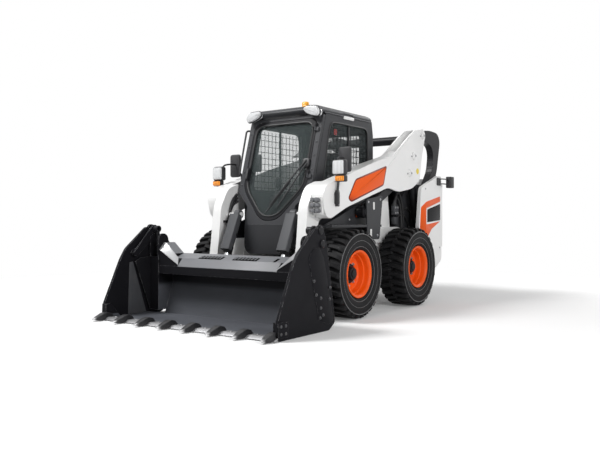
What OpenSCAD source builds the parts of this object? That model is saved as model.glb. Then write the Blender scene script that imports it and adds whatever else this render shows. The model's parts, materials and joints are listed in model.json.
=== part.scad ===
// Skid steer loader with a vertical-lift boom and an opening clam bucket.
// Millimetres, +X forward, +Y to the machine's left, +Z up, ground at Z 0.
// Lengths along X are counted from the rear axle and moved to the middle of the box at the end.

/* [Wheels] */
// Distance between the rear and front axles
wheelbase = 1240; // [1180:5:1300]
// Diameter of a tyre over its lugs
tyre_d = 840; // [800:5:860]
// Width of a tyre
tyre_w = 310; // [280:5:325]
// Room between the frame and a tyre
tyre_gap = 60; // [50:2:80]
// Number of lugs on each side of a tyre
lug_n = 18; // [14:2:20]
// Slant of the lugs from the axle's direction
lug_slant = 32; // [20:1:40]
// Diameter of a rim over its flanges
rim_d = 448; // [420:4:476]
// Depth of the wheel disc behind the rim's outer flange
disc_depth = 78; // [50:2:95]
// Diameter of the axle casing
axle_d = 140; // [110:2:160]
// Diameter of the wheel spindle
spindle_d = 80; // [60:2:96]

/* [Frame] */
// Width over the drive cases
frame_w = 1090; // [1060:5:1100]
// Width of one drive case
case_w = 185; // [160:5:200]
// Ground clearance under the belly
belly_z = 230; // [200:5:260]
// Height of the drive cases' top
deck_z = 740; // [720:5:760]
// Distance from the rear axle to the bumper's back face
rear_reach = 1060; // [1040:5:1100]
// Height of the engine hood's top
hood_z = 1420; // [1400:5:1440]
// Thickness of the side covers beside the engine
cover_t = 40; // [30:2:50]
// Thickness of the tailgate
gate_t = 50; // [40:2:60]
// Distance from the rear axle to the side covers' back edge
cover_reach = 860; // [840:5:900]
// Diameter of the tie-down holes in the rear lugs
tie_hole_d = 44; // [30:2:50]

/* [Cab] */
// Step in from the frame's side to the cab's side
cab_gap = 90; // [86:1:110]
// Thickness of the cab's walls
wall_t = 40; // [30:2:50]
// Distance from the rear axle to the cab's back face
cab_back = 220; // [200:5:240]
// Height of the roof's top
roof_z = 2070; // [2040:5:2120]
// Thickness of the roof
roof_t = 85; // [70:5:100]
// Thickness of the door
door_t = 36; // [28:2:40]
// Thickness of the window glass
glass_t = 10; // [6:1:14]

/* [Boom] */
// Thickness of a boom arm from its inner to its outer face
arm_w = 150; // [140:5:160]
// Thickness of the two cheek plates at the rear of an arm
cheek_t = 20; // [16:1:24]
// Thickness of the tower at the front of an arm
tower_w = 105; // [90:5:115]
// Diameter of the cross tubes between the arms
cross_tube_d = 100; // [80:2:120]
// Diameter of the boom's main pins
pin_d = 60; // [50:2:70]
// Bore of a lift cylinder's barrel, outside
lift_barrel_d = 96; // [80:2:100]
// Diameter of a lift cylinder's rod
lift_rod_d = 56; // [46:2:64]
// Diameter of a tilt cylinder's barrel, outside
tilt_barrel_d = 86; // [70:2:88]
// Diameter of a tilt cylinder's rod
tilt_rod_d = 44; // [36:2:52]
// From a tower's inner side to its tilt cylinder
tilt_gap = 130; // [120:1:134]

/* [Bucket] */
// Width of the bucket over its side plates
bucket_w = 2060; // [2020:5:2120]
// Thickness of the bucket's side plates
side_t = 25; // [20:1:32]
// Thickness of the bucket's floor and back
shell_t = 20; // [14:1:24]
// Number of teeth on the cutting edge
tooth_n = 8; // [6:1:9]
// Distance from the carrier pin to the tooth tips
tooth_reach = 1035; // [1000:5:1080]
// Diameter of a clam cylinder's barrel, outside
clam_barrel_d = 70; // [56:2:76]

/* [Hidden] */
$fn = 64;

// Clearances
pin_gap = 0.3;
run_gap = 5;
seat_gap = 0.3;

// Layers across the machine, from the middle plane outwards
tyre_r = tyre_d / 2;
frame_y = frame_w / 2;
tyre_in = frame_y + tyre_gap;
wheel_y = tyre_in + tyre_w / 2;
case_y = frame_y - case_w;
arm_in = frame_y + 20;
arm_out = arm_in + arm_w;
link_in = arm_in + cheek_t + 15;
link_out = arm_out - cheek_t - 15;
link_mid = (link_in + link_out) / 2;
cover_in = arm_out + 20;
cover_out = cover_in + cover_t;
tower_out = tyre_in - 20;
tower_in = tower_out - tower_w;
ear_t = 25;
tilt_y = tower_in - tilt_gap;
cab_y = frame_y - cab_gap;
upright_y = frame_y - 75;
gate_y = frame_y + 55;

// Linkage pins in the side view, as [x, z]
link_pin = [-620, 1180];
boom_pin = [-470, 1900];
stay_pin = [-150, 1450];
lift_base = [-600, 480];
lift_eye = [-250, 1650];
carrier_pin = [wheelbase + 555, 205];
tilt_base = [wheelbase + 295, 985];
tilt_eye = carrier_pin + [40, 110];
clam_pin = carrier_pin + [285, 525];
clam_base = carrier_pin + [185, -5];
clam_eye = clam_pin + [20, 110];

// Full lift: the rear link swings forward and the boom turns up
link_swing = 20;
boom_swing = 66;
function turn(v, a) = [v.x * cos(a) - v.y * sin(a), v.x * sin(a) + v.y * cos(a)];
boom_pin_up = link_pin + turn(boom_pin - link_pin, -link_swing);
stay_pin_up = boom_pin_up + turn(stay_pin - boom_pin, boom_swing);
stay_chord = stay_pin_up - stay_pin;
stay_drop = 960;
stay_base = (stay_pin + stay_pin_up) / 2 + stay_drop * [stay_chord.y, -stay_chord.x] / norm(stay_chord);

// Door plane: it leans back from the foot of the windscreen to the roof
cab_front_x = wheelbase + 60;
nose_x = wheelbase + 275;
nose_y = cab_y - 165;
door_foot = [wheelbase + 235, 1000];
door_head = [wheelbase - 50, 1985];
door_run = door_head - door_foot;
door_lean = atan2(-door_run.x, door_run.y);
door_gap = 6;
hinge_y = cab_y - 60;
door_y = hinge_y - door_gap / 2;
seat_y = cab_y - 210;
wall_top = roof_z - roof_t;

knuckle_r = 12;
knuckle_h = 40;
hinge_off = knuckle_r + 2;
gate_hinge = [-rear_reach - hinge_off, gate_y + run_gap / 2];
front_reach = carrier_pin.x + tooth_reach;
rear_end = -gate_hinge.x + knuckle_r;
mid_x = (front_reach - rear_end) / 2;

// Colours
white_paint = "whitesmoke";
dark_paint = "dimgray";
black_paint = [0.12, 0.12, 0.13];
rim_paint = "orangered";
steel = "silver";
rubber = [0.08, 0.08, 0.08];

// Moves what is counted from the rear axle to the middle of the box.
module place() translate([-mid_x, 0, 0]) children();

module both() {
    children();
    mirror([0, 1, 0]) children();
}

// A side-view outline as a plate from y0 to y1.
module slab(y0, y1) translate([0, y1, 0]) rotate([90, 0, 0]) linear_extrude(y1 - y0) children();

// A round pin across the machine at p = [x, z].
module pin(p, r, y0, y1) translate([p.x, y0, p.y]) rotate([-90, 0, 0]) cylinder(r = r, h = y1 - y0);

// A round bar in the side plane from p, starting s0 and ending s1 along the way to q.
module bar(p, q, r, y, s0, s1) {
    d = q - p;
    translate([p.x, y, p.y]) rotate([0, atan2(d.x, d.y), 0]) translate([0, 0, s0]) cylinder(r = r, h = s1 - s0);
}

// A straight link outline with round ends.
module link2d(p, q, r) {
    d = (q - p) / norm(q - p);
    n = [-d.y, d.x] * r;
    translate(p) circle(r);
    translate(q) circle(r);
    polygon([p + n, q + n, q - n, p - n]);
}

module box(lo, hi) translate(lo) cube(hi - lo);

// The outline with each corner rounded by a parabola that meets its sides r from the corner.
function soften(pts, r, n = 4) = [
    for (i = [0:len(pts) - 1])
        let (
            p = pts[i],
            a = pts[(i + len(pts) - 1) % len(pts)] - p,
            b = pts[(i + 1) % len(pts)] - p,
            ra = min(r / norm(a), 0.45),
            rb = min(r / norm(b), 0.45)
        )
        for (k = [0:n]) p + pow(1 - k / n, 2) * ra * a + pow(k / n, 2) * rb * b
];

// Points of the door plane: u across the machine, v up along the lean, depth behind the outer face.
module on_door_plane(depth, t) {
    translate([door_foot.x, 0, door_foot.y])
        rotate([0, -door_lean, 0])
            translate([-depth - t, 0, 0])
                rotate([90, 0, 90])
                    linear_extrude(t) children();
}

// Chassis

module main_frame() color(white_paint) place() {
    both() {
        slab(case_y, frame_y) polygon([
            [-rear_reach + 110, 330], [-700, belly_z], [wheelbase + 210, belly_z],
            [wheelbase + 210, deck_z - 180], [wheelbase + 140, deck_z], [-rear_reach + 110, deck_z]
        ]);
        pin(lift_base, pin_d / 2, frame_y, cover_in);
        slab(frame_y - 20, frame_y) polygon([[-10, deck_z], [236, deck_z], [165, 1150], [40, 1130]]);
        slab(frame_y, frame_y + 15) polygon(soften([
            [-400, deck_z - 60], [-330, deck_z + 70], [-150, deck_z + 110], [150, deck_z + 110],
            [330, deck_z + 70],
            [400, deck_z - 60]
        ], 60));
    }
    box([-700, -case_y, belly_z], [wheelbase + 210, case_y, belly_z + 20]);
    for (x = [-640, -140]) box([x, -case_y, belly_z + 20], [x + 90, case_y, 450]);
}

module axle_tubes() color(black_paint) place() {
    both() for (x = [0, wheelbase]) {
        pin([x, tyre_r], axle_d / 2, frame_y, wheel_y - 25);
        pin([x, tyre_r], spindle_d / 2, wheel_y - 25, wheel_y + 20);
    }
}

module uprights() color(dark_paint) place() both() {
    slab(upright_y, frame_y) {
        polygon([
            [-rear_reach + 150, deck_z], [-110, deck_z], [-180, 1100], [-480, hood_z - 70],
            [-rear_reach + 150, hood_z - 70]
        ]);
        polygon([
            [stay_base.x - 260, deck_z], [stay_base.x + 160, deck_z], [stay_base.x + 100, stay_base.y + 70],
            [stay_base.x - 60, stay_base.y + 80]
        ]);
    }
    pin(link_pin, pin_d / 2, frame_y, cover_in);
    pin(stay_base, pin_d / 2, frame_y, link_out + 8);
}

module side_covers() color(white_paint) place() {
    both() side_cover();
    gate_knuckles(true);
}

module side_cover() {
    back = -cover_reach;
    slab(cover_in, cover_out) difference() {
        polygon(soften([
            [back, 455], [back + 165, 365], [-250, 365], [-250, 830], [-320, 1295],
            [back + 75, hood_z + 32], [back, hood_z + 20]
        ], 45));
        translate([0, tyre_r]) circle(tyre_r + 70);
    }
    translate([0, 0, 610]) linear_extrude(hood_z - 670) polygon([
        [back, cover_in], [back, cover_out], [back - 40, cover_out - 5], [-rear_reach + 25, gate_y + 80],
        [-rear_reach, gate_y + 50], [-rear_reach, gate_y + run_gap],
        [-rear_reach + gate_t, gate_y + run_gap],
        [-rear_reach + gate_t, gate_y + 50]
    ]);
}

// One hinge along z, its two halves lying on a face at x = -hinge_off.
// The post's half has the bore and the leaf's half the pin.
module knuckle(on_post) {
    z0 = on_post ? 0 : knuckle_h + 0.5;
    hinge_pin_r = knuckle_r / 2;
    difference() {
        union() {
            translate([0, 0, z0]) cylinder(r = knuckle_r, h = knuckle_h);
            translate([-hinge_off, on_post ? 0 : -knuckle_h, z0]) cube([hinge_off, knuckle_h, knuckle_h]);
        }
        if (on_post) translate([0, 0, -1]) cylinder(r = hinge_pin_r + pin_gap, h = knuckle_h + 2);
    }
    if (!on_post) translate([0, 0, 2]) cylinder(r = hinge_pin_r, h = knuckle_h + 10);
}

module gate_knuckles(on_post) for (z = [720, 1240])
    translate([gate_hinge.x, gate_hinge.y, z]) mirror([1, 0, 0]) knuckle(on_post);

module door_knuckles(on_post) translate([door_foot.x, 0, door_foot.y]) rotate([0, -door_lean, 0])
    for (z = [1330, 1800]) translate([hinge_off, hinge_y, door_v(z)]) knuckle(on_post);

module rear_bumper() color(dark_paint) place() {
    difference() {
        union() {
            box([-rear_reach, -gate_y, 400], [-rear_reach + 110, gate_y, 600]);
            both() box([-rear_reach, gate_y - 40, 250], [-rear_reach + 80, gate_y, 400]);
        }
        pin([-rear_reach + 40, 290], tie_hole_d / 2, -gate_y - 1, gate_y + 1);
    }
}

module engine_block() color("gray") place() box([-750, 80 - case_y, 450], [50, case_y - 80, 1050]);

module engine_cover() color(white_paint) place() {
    box([-rear_reach + gate_t + run_gap, -frame_y, hood_z - 70], [cab_back, frame_y, hood_z]);
    both() box([-60, upright_y, deck_z], [cab_back, upright_y + 20, hood_z - 70]);
}

module side_panels() color(dark_paint) place() both() {
    fender_z = tyre_d + 15;
    slab(frame_y + 15, frame_y + 27) difference() {
        polygon(soften([
            [440, deck_z - 40], [wheelbase + 180, deck_z - 40], [wheelbase + 180, fender_z + 5],
            [wheelbase - 80, 940],
            [530, 1150], [440, 1150]
        ], 40));
        translate(stay_base) circle(pin_d / 2 + pin_gap);
    }
    box([470, frame_y, deck_z - 30], [wheelbase + 150, frame_y + 15, deck_z + 20]);
    box([470, frame_y + 27, fender_z], [wheelbase + 180, tyre_in + 95, fender_z + 25]);
    slab(link_out + 10, link_out + 22) polygon(soften([[516, 728], [762, 728], [784, 1135],
    [450, 1185]], 30));
    box([530, frame_y + 27, deck_z], [545, link_out + 10, fender_z]);
}

module cab_floor() color(dark_paint) place() {
    box([cab_back + wall_t, -cab_y + wall_t, deck_z], [cab_front_x, cab_y - wall_t, deck_z + 25]);
    box([cab_front_x, 20 - nose_y, 645], [nose_x - 25, nose_y - 20, 665]);
    box([cab_front_x, 20 - nose_y, 665], [cab_front_x + 15, nose_y - 20, deck_z + 25]);
}

function lean_x(z) = door_foot.x - (z - door_foot.y) * tan(door_lean);

module cab_sides() color(dark_paint) place() both() slab(cab_y - wall_t, cab_y) difference() {
    depth = (door_t + door_gap) / cos(door_lean);
    polygon([
        [cab_back, deck_z], [cab_front_x, deck_z], [cab_front_x, 1130],
        [lean_x(1210) - depth, 1210], [lean_x(wall_top) - depth, wall_top], [cab_back + 25, wall_top],
        [cab_back, 1850]
    ]);
    side_window2d();
}

module side_window2d() polygon(soften([
    [cab_back + 100, 1240], [wheelbase - 20, 1240], [wheelbase - 165, wall_top - 75],
    [cab_back + 120, wall_top - 75]
], 80));

module rear_window2d() polygon(soften([
    [155 - cab_y, 1460], [cab_y - 155, 1460], [cab_y - 155, wall_top - 90], [155 - cab_y, wall_top - 90]
], 60));

module cab_rear_wall() color(dark_paint) place() difference() {
    slab(-cab_y + wall_t, cab_y - wall_t) polygon([
        [cab_back, deck_z + 25], [cab_back + wall_t, deck_z + 25], [cab_back + wall_t, 1850],
        [cab_back + wall_t + 25, wall_top],
        [cab_back + 25, wall_top], [cab_back, 1850]
    ]);
    translate([cab_back - 1, 0, 0]) rotate([90, 0, 90]) linear_extrude(wall_t + 2) rear_window2d();
}

module cab_roof() color(dark_paint) place() difference() {
    roof_shell();
    both() roof_lamp_pair();
}

module roof_shell() intersection() {
    slab(-cab_y, cab_y) polygon(soften([
        [cab_back + 25, wall_top], [door_head.x + 20, wall_top], [door_head.x + 60, wall_top + 40],
        [door_head.x + 10, roof_z],
        [cab_back + 110, roof_z], [cab_back + 35, roof_z - 35]
    ], 45));
    translate([cab_back, 0, 0]) rotate([90, 0, 90]) linear_extrude(wheelbase) polygon(soften([
        [-cab_y, wall_top - 1], [cab_y, wall_top - 1], [cab_y - 8, roof_z - 25], [cab_y - 90, roof_z],
        [-cab_y + 90, roof_z],
        [8 - cab_y, roof_z - 25]
    ], 40));
}

module door2d(grow) polygon(soften([
    [-door_y - grow, door_v(1935) + grow], [-door_y - grow, door_v(1250)],
    [-100 - grow, door_v(925) - grow],
    [100 + grow, door_v(925) - grow], [door_y + grow, door_v(1250)], [door_y + grow, door_v(1935) + grow]
], 90));

function door_v(z) = (z - door_foot.y) / cos(door_lean);

module cab_front() color(dark_paint) place() {
    on_door_plane(0, door_t) difference() {
        polygon([
            [-cab_y, door_v(wall_top) - 12], [-cab_y, door_v(1215)], [-nose_y - 10, door_v(1065)],
            [-nose_y, door_v(870)],
            [nose_y, door_v(870)], [nose_y + 10, door_v(1065)], [cab_y, door_v(1215)],
            [cab_y, door_v(wall_top) - 12]
        ]);
        door2d(door_gap);
    }
    translate([nose_x - 25, 0, 0]) rotate([90, 0, 90]) linear_extrude(25) polygon(soften([
        [-nose_y, 885], [-nose_y, 640], [60 - nose_y, 590], [nose_y - 60, 590], [nose_y, 640], [nose_y, 885]
    ], 40));
    door_knuckles(true);
    both() {
        box([cab_front_x, nose_y - 20, 645], [nose_x - 25, nose_y, 885]);
        box([cab_front_x, nose_y, deck_z], [cab_front_x + 15, cab_y, 1130]);
    }
}

module cab_windows() color("lightblue", 0.4) place() {
    both() slab(cab_y - wall_t / 2 - glass_t / 2, cab_y - wall_t / 2 + glass_t / 2) side_window2d();
    translate([cab_back + wall_t / 2 - glass_t / 2, 0, 0]) rotate([90, 0, 90])
        linear_extrude(glass_t) rear_window2d();
}

module window_guards() color(black_paint) place() both() {
    bar_w = 8;
    y0 = cab_y - wall_t / 2 + glass_t / 2;
    slab(y0 + 1, y0 + 1 + bar_w) intersection() {
        side_window2d();
        union() {
            for (z = [1320:80:wall_top - 120]) translate([cab_back, z]) square([wheelbase, bar_w]);
            for (x = [cab_back + 240:200:wheelbase - 100])
                translate([x, 1200]) square([bar_w, wall_top - 1200]);
        }
    }
}

module seat_base() color(black_paint) place() {
    base_y = seat_y - 45;
    box([460, 10 - base_y, deck_z + 25], [860, base_y - 10, 1010]);
    box([400, -base_y, 1010], [900, base_y, 1030]);
    box([380, -base_y, 1010], [400, base_y, 1600]);
}

module seat_cushions() color(rubber) place() {
    box([425, -seat_y, 1030 + seat_gap], [930, seat_y, 1140]);
    box([400 + seat_gap, 10 - seat_y, 1150], [500, seat_y - 10, 1700]);
}

module control_consoles() color(black_paint) place() both() {
    box([520, seat_y + 30, deck_z + 25], [980, seat_y + 150, 1180]);
    translate([900, seat_y + 90, 1180]) cylinder(d = 60, h = 25);
    translate([900, seat_y + 90, 1205]) cylinder(d = 34, h = 120);
}

module roof_lamps() color("white") place() both() roof_lamp_pair();

// The corner lamp over the door and the lamp on the roof's side.
module roof_lamp_pair() {
    translate([door_head.x + 20, 0, 0]) rotate([90, 0, 90]) linear_extrude(70) polygon(soften([
        [cab_y - 185, wall_top + 40], [cab_y - 155, wall_top + 2], [cab_y - 30, wall_top - 8],
        [cab_y - 5, wall_top + 30], [cab_y - 40, wall_top + 72], [cab_y - 145, wall_top + 70]
    ], 30));
    box([cab_back + 410, cab_y - 12, wall_top + 4], [cab_back + 610, cab_y + 12, wall_top + 38]);
}

module beacon() color("orange") place() translate([door_head.x - 150, 130, roof_z]) {
    cylinder(d = 90, h = 12);
    translate([0, 0, 12]) cylinder(d = 76, h = 56);
}

module rear_lamps() color("white") place() both() {
    box([-cover_reach - 60, cover_out, hood_z - 70], [-cover_reach + 120, cover_out + 14, hood_z - 40]);
    box([-rear_reach, cover_out + 14, hood_z - 110], [-cover_reach - 60, cover_out + 84, hood_z + 30]);
}

module grab_rail() color("gray") place() {
    rail_r = 11;
    y0 = -cab_y;
    p = [[wheelbase - 115, 1872], [wheelbase - 13, 1865], [wheelbase + 93, 1445], [wheelbase + 35, 1266]];
    translate([p[0].x, y0 - 45, p[0].y]) rotate([-90, 0, 0]) cylinder(r = rail_r, h = 45);
    translate([p[3].x, y0 - 45, p[3].y]) rotate([-90, 0, 0]) cylinder(r = rail_r, h = 45);
    for (i = [0:2]) bar(p[i], p[i + 1], rail_r, y0 - 45, 0, norm(p[i + 1] - p[i]));
    for (q = p) translate([q.x, y0 - 45, q.y]) sphere(r = rail_r + 1);
}

// Door

module door_frame() color(dark_paint) place() {
    on_door_plane(0, door_t) difference() {
        door2d(0);
        door_glass2d();
    }
    on_door_plane(-30, 30) translate([22 - door_y, door_v(1330)]) square([30, 130]);
    door_knuckles(false);
}

module door_glass2d() polygon(soften([
    [32 - door_y, door_v(1905)], [32 - door_y, door_v(1262)], [-90, door_v(965)], [90, door_v(965)],
    [door_y - 32, door_v(1262)], [door_y - 32, door_v(1905)]
], 110));

module door_glass() color("lightblue", 0.4) place()
    on_door_plane(door_t / 2 - glass_t / 2, glass_t) door_glass2d();

module door_wiper() color(black_paint) place() on_door_plane(-14, 14) {
    translate([-20, door_v(1890)]) square([60, 40]);
    polygon([[0, door_v(1890)], [20, door_v(1890)], [190, door_v(1420)], [175, door_v(1415)]]);
}

// Tailgate

module tailgate() color(dark_paint) place() {
    difference() {
        box([-rear_reach, -gate_y, 610], [-rear_reach + gate_t, gate_y, hood_z - 10]);
        for (z = [860:60:1220])
            box([-rear_reach - 1, 180 - gate_y, z], [-rear_reach + 25, gate_y - 180, z + 30]);
    }
    gate_knuckles(false);
}

// Boom

arm_top = [[wheelbase + 360, 1160], [wheelbase + 300, 1250], [710, 1502], [230, 1620]];
arm_tip = [[-150, 1868], [-285, 1945], boom_pin + [0, 75], boom_pin + [-70, -25]];
arm_rear = [[-453, 1650], [-396, 1373], [-203, 1279], [110, 1232], [355, 1270]];
arm_bottom = [[wheelbase - 59, 1051], [wheelbase + 250, 930], [wheelbase + 330, 1000]];

module arm2d() {
    polygon(soften(concat(arm_top, arm_tip, arm_rear, arm_bottom), 60));
    translate(boom_pin) circle(75);
}

// The closed box of the arm ends ahead of the slot where the links and the lift cylinder work.
module arm_web2d() polygon(soften(concat(arm_top, [[120, 1690], [330, 1420],
[420, 1254]], arm_bottom), 60));

module tower2d() {
    polygon(soften([
        [wheelbase + 145, 1240], [wheelbase + 320, 1225], [wheelbase + 410, 1060], [wheelbase + 450, 700],
        [wheelbase + 470, 565], carrier_pin + [-33, 245], carrier_pin + [40, 55], carrier_pin + [0, -40],
        carrier_pin + [-70, 30], [wheelbase + 380, 450], [wheelbase + 230, 920], [wheelbase + 145, 1000]
    ], 50));
    translate(carrier_pin) circle(75);
}

module elbow2d() difference() {
    arm_web2d();
    translate([-2000, 0]) square([2000 + wheelbase + 145, 3000]);
}

// Keeps what lies behind the tower's rear edge.
module behind_tower() intersection() {
    children();
    translate([-2000, 0]) square([2000 + wheelbase + 145, 3000]);
}

module boom_arms() color(white_paint) place() both() {
    slab(arm_in, arm_in + cheek_t) behind_tower() arm2d();
    slab(arm_in, tower_out) behind_tower() arm_web2d();
    slab(tower_out, arm_out) arm_web2d();
    slab(arm_out - cheek_t, arm_out) arm2d();
    pin(boom_pin, pin_d / 2, arm_in, arm_out);
    for (p = [boom_pin, stay_pin, lift_eye]) pin(p, pin_d / 2 + 12, arm_out, arm_out + 12);
}

module boom_towers() color(white_paint) place() both() {
    slab(tower_in, tower_out) {
        elbow2d();
        tower2d();
    }
    pin(carrier_pin, pin_d / 2, tower_in - run_gap - ear_t, tower_out + run_gap + ear_t);
    pin(tilt_base, 22, tilt_y - 40, tower_in);
}

module boom_cross_tubes() color(black_paint) place() {
    pin(boom_pin + [110, -50], cross_tube_d / 2, -arm_in, arm_in);
    pin([wheelbase + 370, 430], cross_tube_d / 2 - 5, -tower_in, tower_in);
}

module lamp_posts() color(black_paint) place() both() {
    post = [wheelbase + 150, arm_out + 26];
    box([post.x - 60, arm_out, 1056], [post.x + 20, arm_out + 14, 1206]);
    translate([post.x, post.y, 1070]) cylinder(d = 24, h = 220);
    box([post.x - 12, arm_out + 14, 1080], [post.x + 12, post.y + 4, 1180]);
    box([post.x - 54, arm_out + 4, 1286], [post.x + 12, post.y + 87, 1345]);
    box([post.x - 54, post.y - 51, 1345], [post.x + 12, post.y + 87, 1494]);
    translate([post.x - 40, post.y - 20, 1494]) cylinder(d = 16, h = 20);
    box([post.x - 200, post.y - 65, 1514], [post.x - 30, post.y - 12, 1530]);
    box([post.x - 224, post.y - 123, 1385], [post.x - 200, post.y + 7, 1598]);
}

module headlamps() color("white") place() both() {
    post = [wheelbase + 150, arm_out + 26];
    box([post.x + 12, post.y - 42, 1356], [post.x + 26, post.y + 78, 1485]);
    box([post.x + 12, arm_out + 9, 1291], [post.x + 22, post.y + 78, 1339]);
}

module rear_links() color(black_paint) place() both() slab(link_in, link_out) difference() {
    union() {
        for (p = [link_pin, boom_pin]) translate(p) circle(62);
        polygon(soften([
            boom_pin + [-10, 62], [-740, 1990], [-960, 1978], [-1032, 1885], [-938, 1505],
            [-830, 1330], link_pin + [-62, -20],
            link_pin + [30, -54], link_pin + [62, 0], [-660, 1340], [-800, 1500], [-846, 1700],
            [-800, 1800], [-700, 1835],
            boom_pin + [10, -62]
        ], 70));
    }
    for (p = [link_pin, boom_pin]) translate(p) circle(pin_d / 2 + pin_gap);
}

module stay_links() color(black_paint) place() both() slab(link_in, link_out) difference() {
    union() {
        link2d(stay_base, stay_pin, 45);
        translate(stay_base) circle(60);
        translate(stay_pin) circle(58);
    }
    translate(stay_base) circle(pin_d / 2 + pin_gap);
    translate(stay_pin) circle(pin_d / 2 + pin_gap);
}

// Cylinders

lift_len = norm(lift_eye - lift_base);

module lift_barrels() color(black_paint) place() both() difference() {
    union() {
        bar(lift_base, lift_eye, lift_barrel_d / 2, link_mid, 40, lift_len - 190);
        pin(lift_base, 58, link_in, link_out);
    }
    pin(lift_base, pin_d / 2 + pin_gap, link_in - 1, link_out + 1);
    bar(lift_base, lift_eye, lift_rod_d / 2 + pin_gap, link_mid, 110, lift_len);
}

module lift_rods() color(steel) place() both() difference() {
    union() {
        bar(lift_base, lift_eye, lift_rod_d / 2, link_mid, 120, lift_len - 20);
        pin(lift_eye, 55, link_in, link_out);
    }
    pin(lift_eye, pin_d / 2 + pin_gap, link_in - 1, link_out + 1);
}

tilt_len = norm(tilt_eye - tilt_base);

module tilt_barrels() color("gray") place() both() difference() {
    union() {
        bar(tilt_base, tilt_eye, tilt_barrel_d / 2, tilt_y, 25, tilt_len - 330);
        pin(tilt_base, 42, tilt_y - 30, tilt_y + 30);
    }
    pin(tilt_base, 22 + pin_gap, tilt_y - 31, tilt_y + 31);
    bar(tilt_base, tilt_eye, tilt_rod_d / 2 + pin_gap, tilt_y, 60, tilt_len);
}

module tilt_rods() color(steel) place() both() difference() {
    eye_y = tilt_rod_d / 2 + 6;
    union() {
        bar(tilt_base, tilt_eye, tilt_rod_d / 2, tilt_y, 140, tilt_len - 24);
        pin(tilt_eye, 34, tilt_y - eye_y, tilt_y + eye_y);
    }
    pin(tilt_eye, 20, tilt_y - eye_y - 1, tilt_y + eye_y + 1);
}

// Bucket

plate_x = carrier_pin.x + 115;
blade_x = plate_x + 20;
clam_in = bucket_w / 2 - side_t;
blade_y = clam_in - 10;
tooth_x = carrier_pin.x + tooth_reach;

module attach_carrier() color(black_paint) place() {
    difference() {
        box([plate_x, -tower_out - 15, 95], [blade_x, tower_out + 15, 500]);
        both() {
            box([plate_x - 1, tower_in - 40, 262], [blade_x + 1, tower_out + 16, 501]);
            box([plate_x - 1, tilt_y - 45, 270], [blade_x + 1, tilt_y + 45, 501]);
        }
    }
    both() {
        for (y = [tower_in - run_gap - ear_t, tower_out + run_gap]) slab(y, y + ear_t) difference() {
            union() {
                translate(carrier_pin) circle(62);
                polygon([carrier_pin + [0, 62], [plate_x, 262], [plate_x, 110], carrier_pin + [0, -62]]);
            }
            translate(carrier_pin) circle(pin_d / 2 + pin_gap);
        }
        for (y = [tilt_y - 65, tilt_y + 45]) slab(y, y + 20) {
            translate(tilt_eye) circle(40);
            polygon([tilt_eye + [-40, 0], tilt_eye + [0, 40], [blade_x, tilt_eye.y + 40],
            [blade_x, 200], [plate_x, 200]]);
        }
    }
}

module bucket_blade() color(black_paint) place() {
    inner_y = blade_y - 140;
    shelf_y = inner_y - 150;
    shelf_x = blade_x + 145;
    face_x = blade_x + shell_t;
    slab(-inner_y, inner_y) polygon([
        [blade_x, 300], [blade_x + 100, 30], [blade_x + 115, 6], [blade_x + 135, 6],
        [blade_x + 122, 36], [face_x + 3, 303],
        [face_x, 600], [blade_x, 600]
    ]);
    slab(-inner_y, inner_y) polygon([[face_x, 480], [shelf_x, 480], [shelf_x, 556], [face_x, 600]]);
    both() {
        translate([face_x, 0, 0]) rotate([90, 0, 90]) linear_extrude(shelf_x - face_x)
            polygon([[shelf_y, 540], [inner_y, 540], [inner_y, 705], [inner_y - 25, 705], [shelf_y, 600]]);
        for (y = [inner_y, blade_y - 20]) slab(y, y + 20) {
            polygon([
                [blade_x, 300], [blade_x + (300 - 46) / 2.7, 46], [blade_x + 215, 46],
                clam_pin + [65, -160], clam_pin + [65, 0], clam_pin + [-65, 0], [blade_x, 600]
            ]);
            translate(clam_pin) circle(65);
        }
        slab(inner_y + 20, blade_y - 20) polygon([
            [blade_x + 195, 46], [blade_x + 215, 46], clam_pin + [65, -160], clam_pin + [45, -160]
        ]);
        pin(clam_pin, 28, blade_y, bucket_w / 2 + 6);
        pin(clam_base, 18, inner_y + 20, blade_y - 20);
    }
}

module bucket_clam() color(black_paint) place() {
    floor_back = blade_x + 150;
    floor_front = tooth_x - 150;
    lever_y = clam_y + 30;
    slab(-clam_in, clam_in) polygon([
        [floor_back, 0], [floor_front, 0], [floor_front, shell_t], [floor_back + 20, shell_t]
    ]);
    both() {
        slab(clam_in, bucket_w / 2) difference() {
            union() {
                polygon(soften([
                    [blade_x - 50, 60], [blade_x + 40, 0], [floor_front, 0], [floor_front, 150],
                    carrier_pin + [695, 350],
                    carrier_pin + [630, 450], clam_eye + [70, 22], clam_eye + [-50, 0], clam_pin + [-75, 0]
                ], 25));
                translate(clam_eye) circle(45);
            }
            translate(clam_pin) circle(28 + pin_gap);
        }
        slab(lever_y, lever_y + 15) polygon(soften([
            clam_eye + [-40, -15], clam_eye + [-25, 38], clam_eye + [20, 42],
            carrier_pin + [585, 400], carrier_pin + [535, 365],
            clam_pin + [85, -10], clam_pin + [75, 60]
        ], 25));
        slab(lever_y + 15, clam_in) polygon([
            carrier_pin + [500, 420], carrier_pin + [540, 450], carrier_pin + [575, 405],
            carrier_pin + [540, 375]
        ]);
        pin(clam_eye, 18, lever_y + 15, clam_in);
        slab(clam_in - 22, clam_in) polygon([
            [floor_front - 170, shell_t], [floor_front, shell_t], [floor_front, 145],
            [floor_front - 60, 145]
        ]);
    }
}

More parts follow.
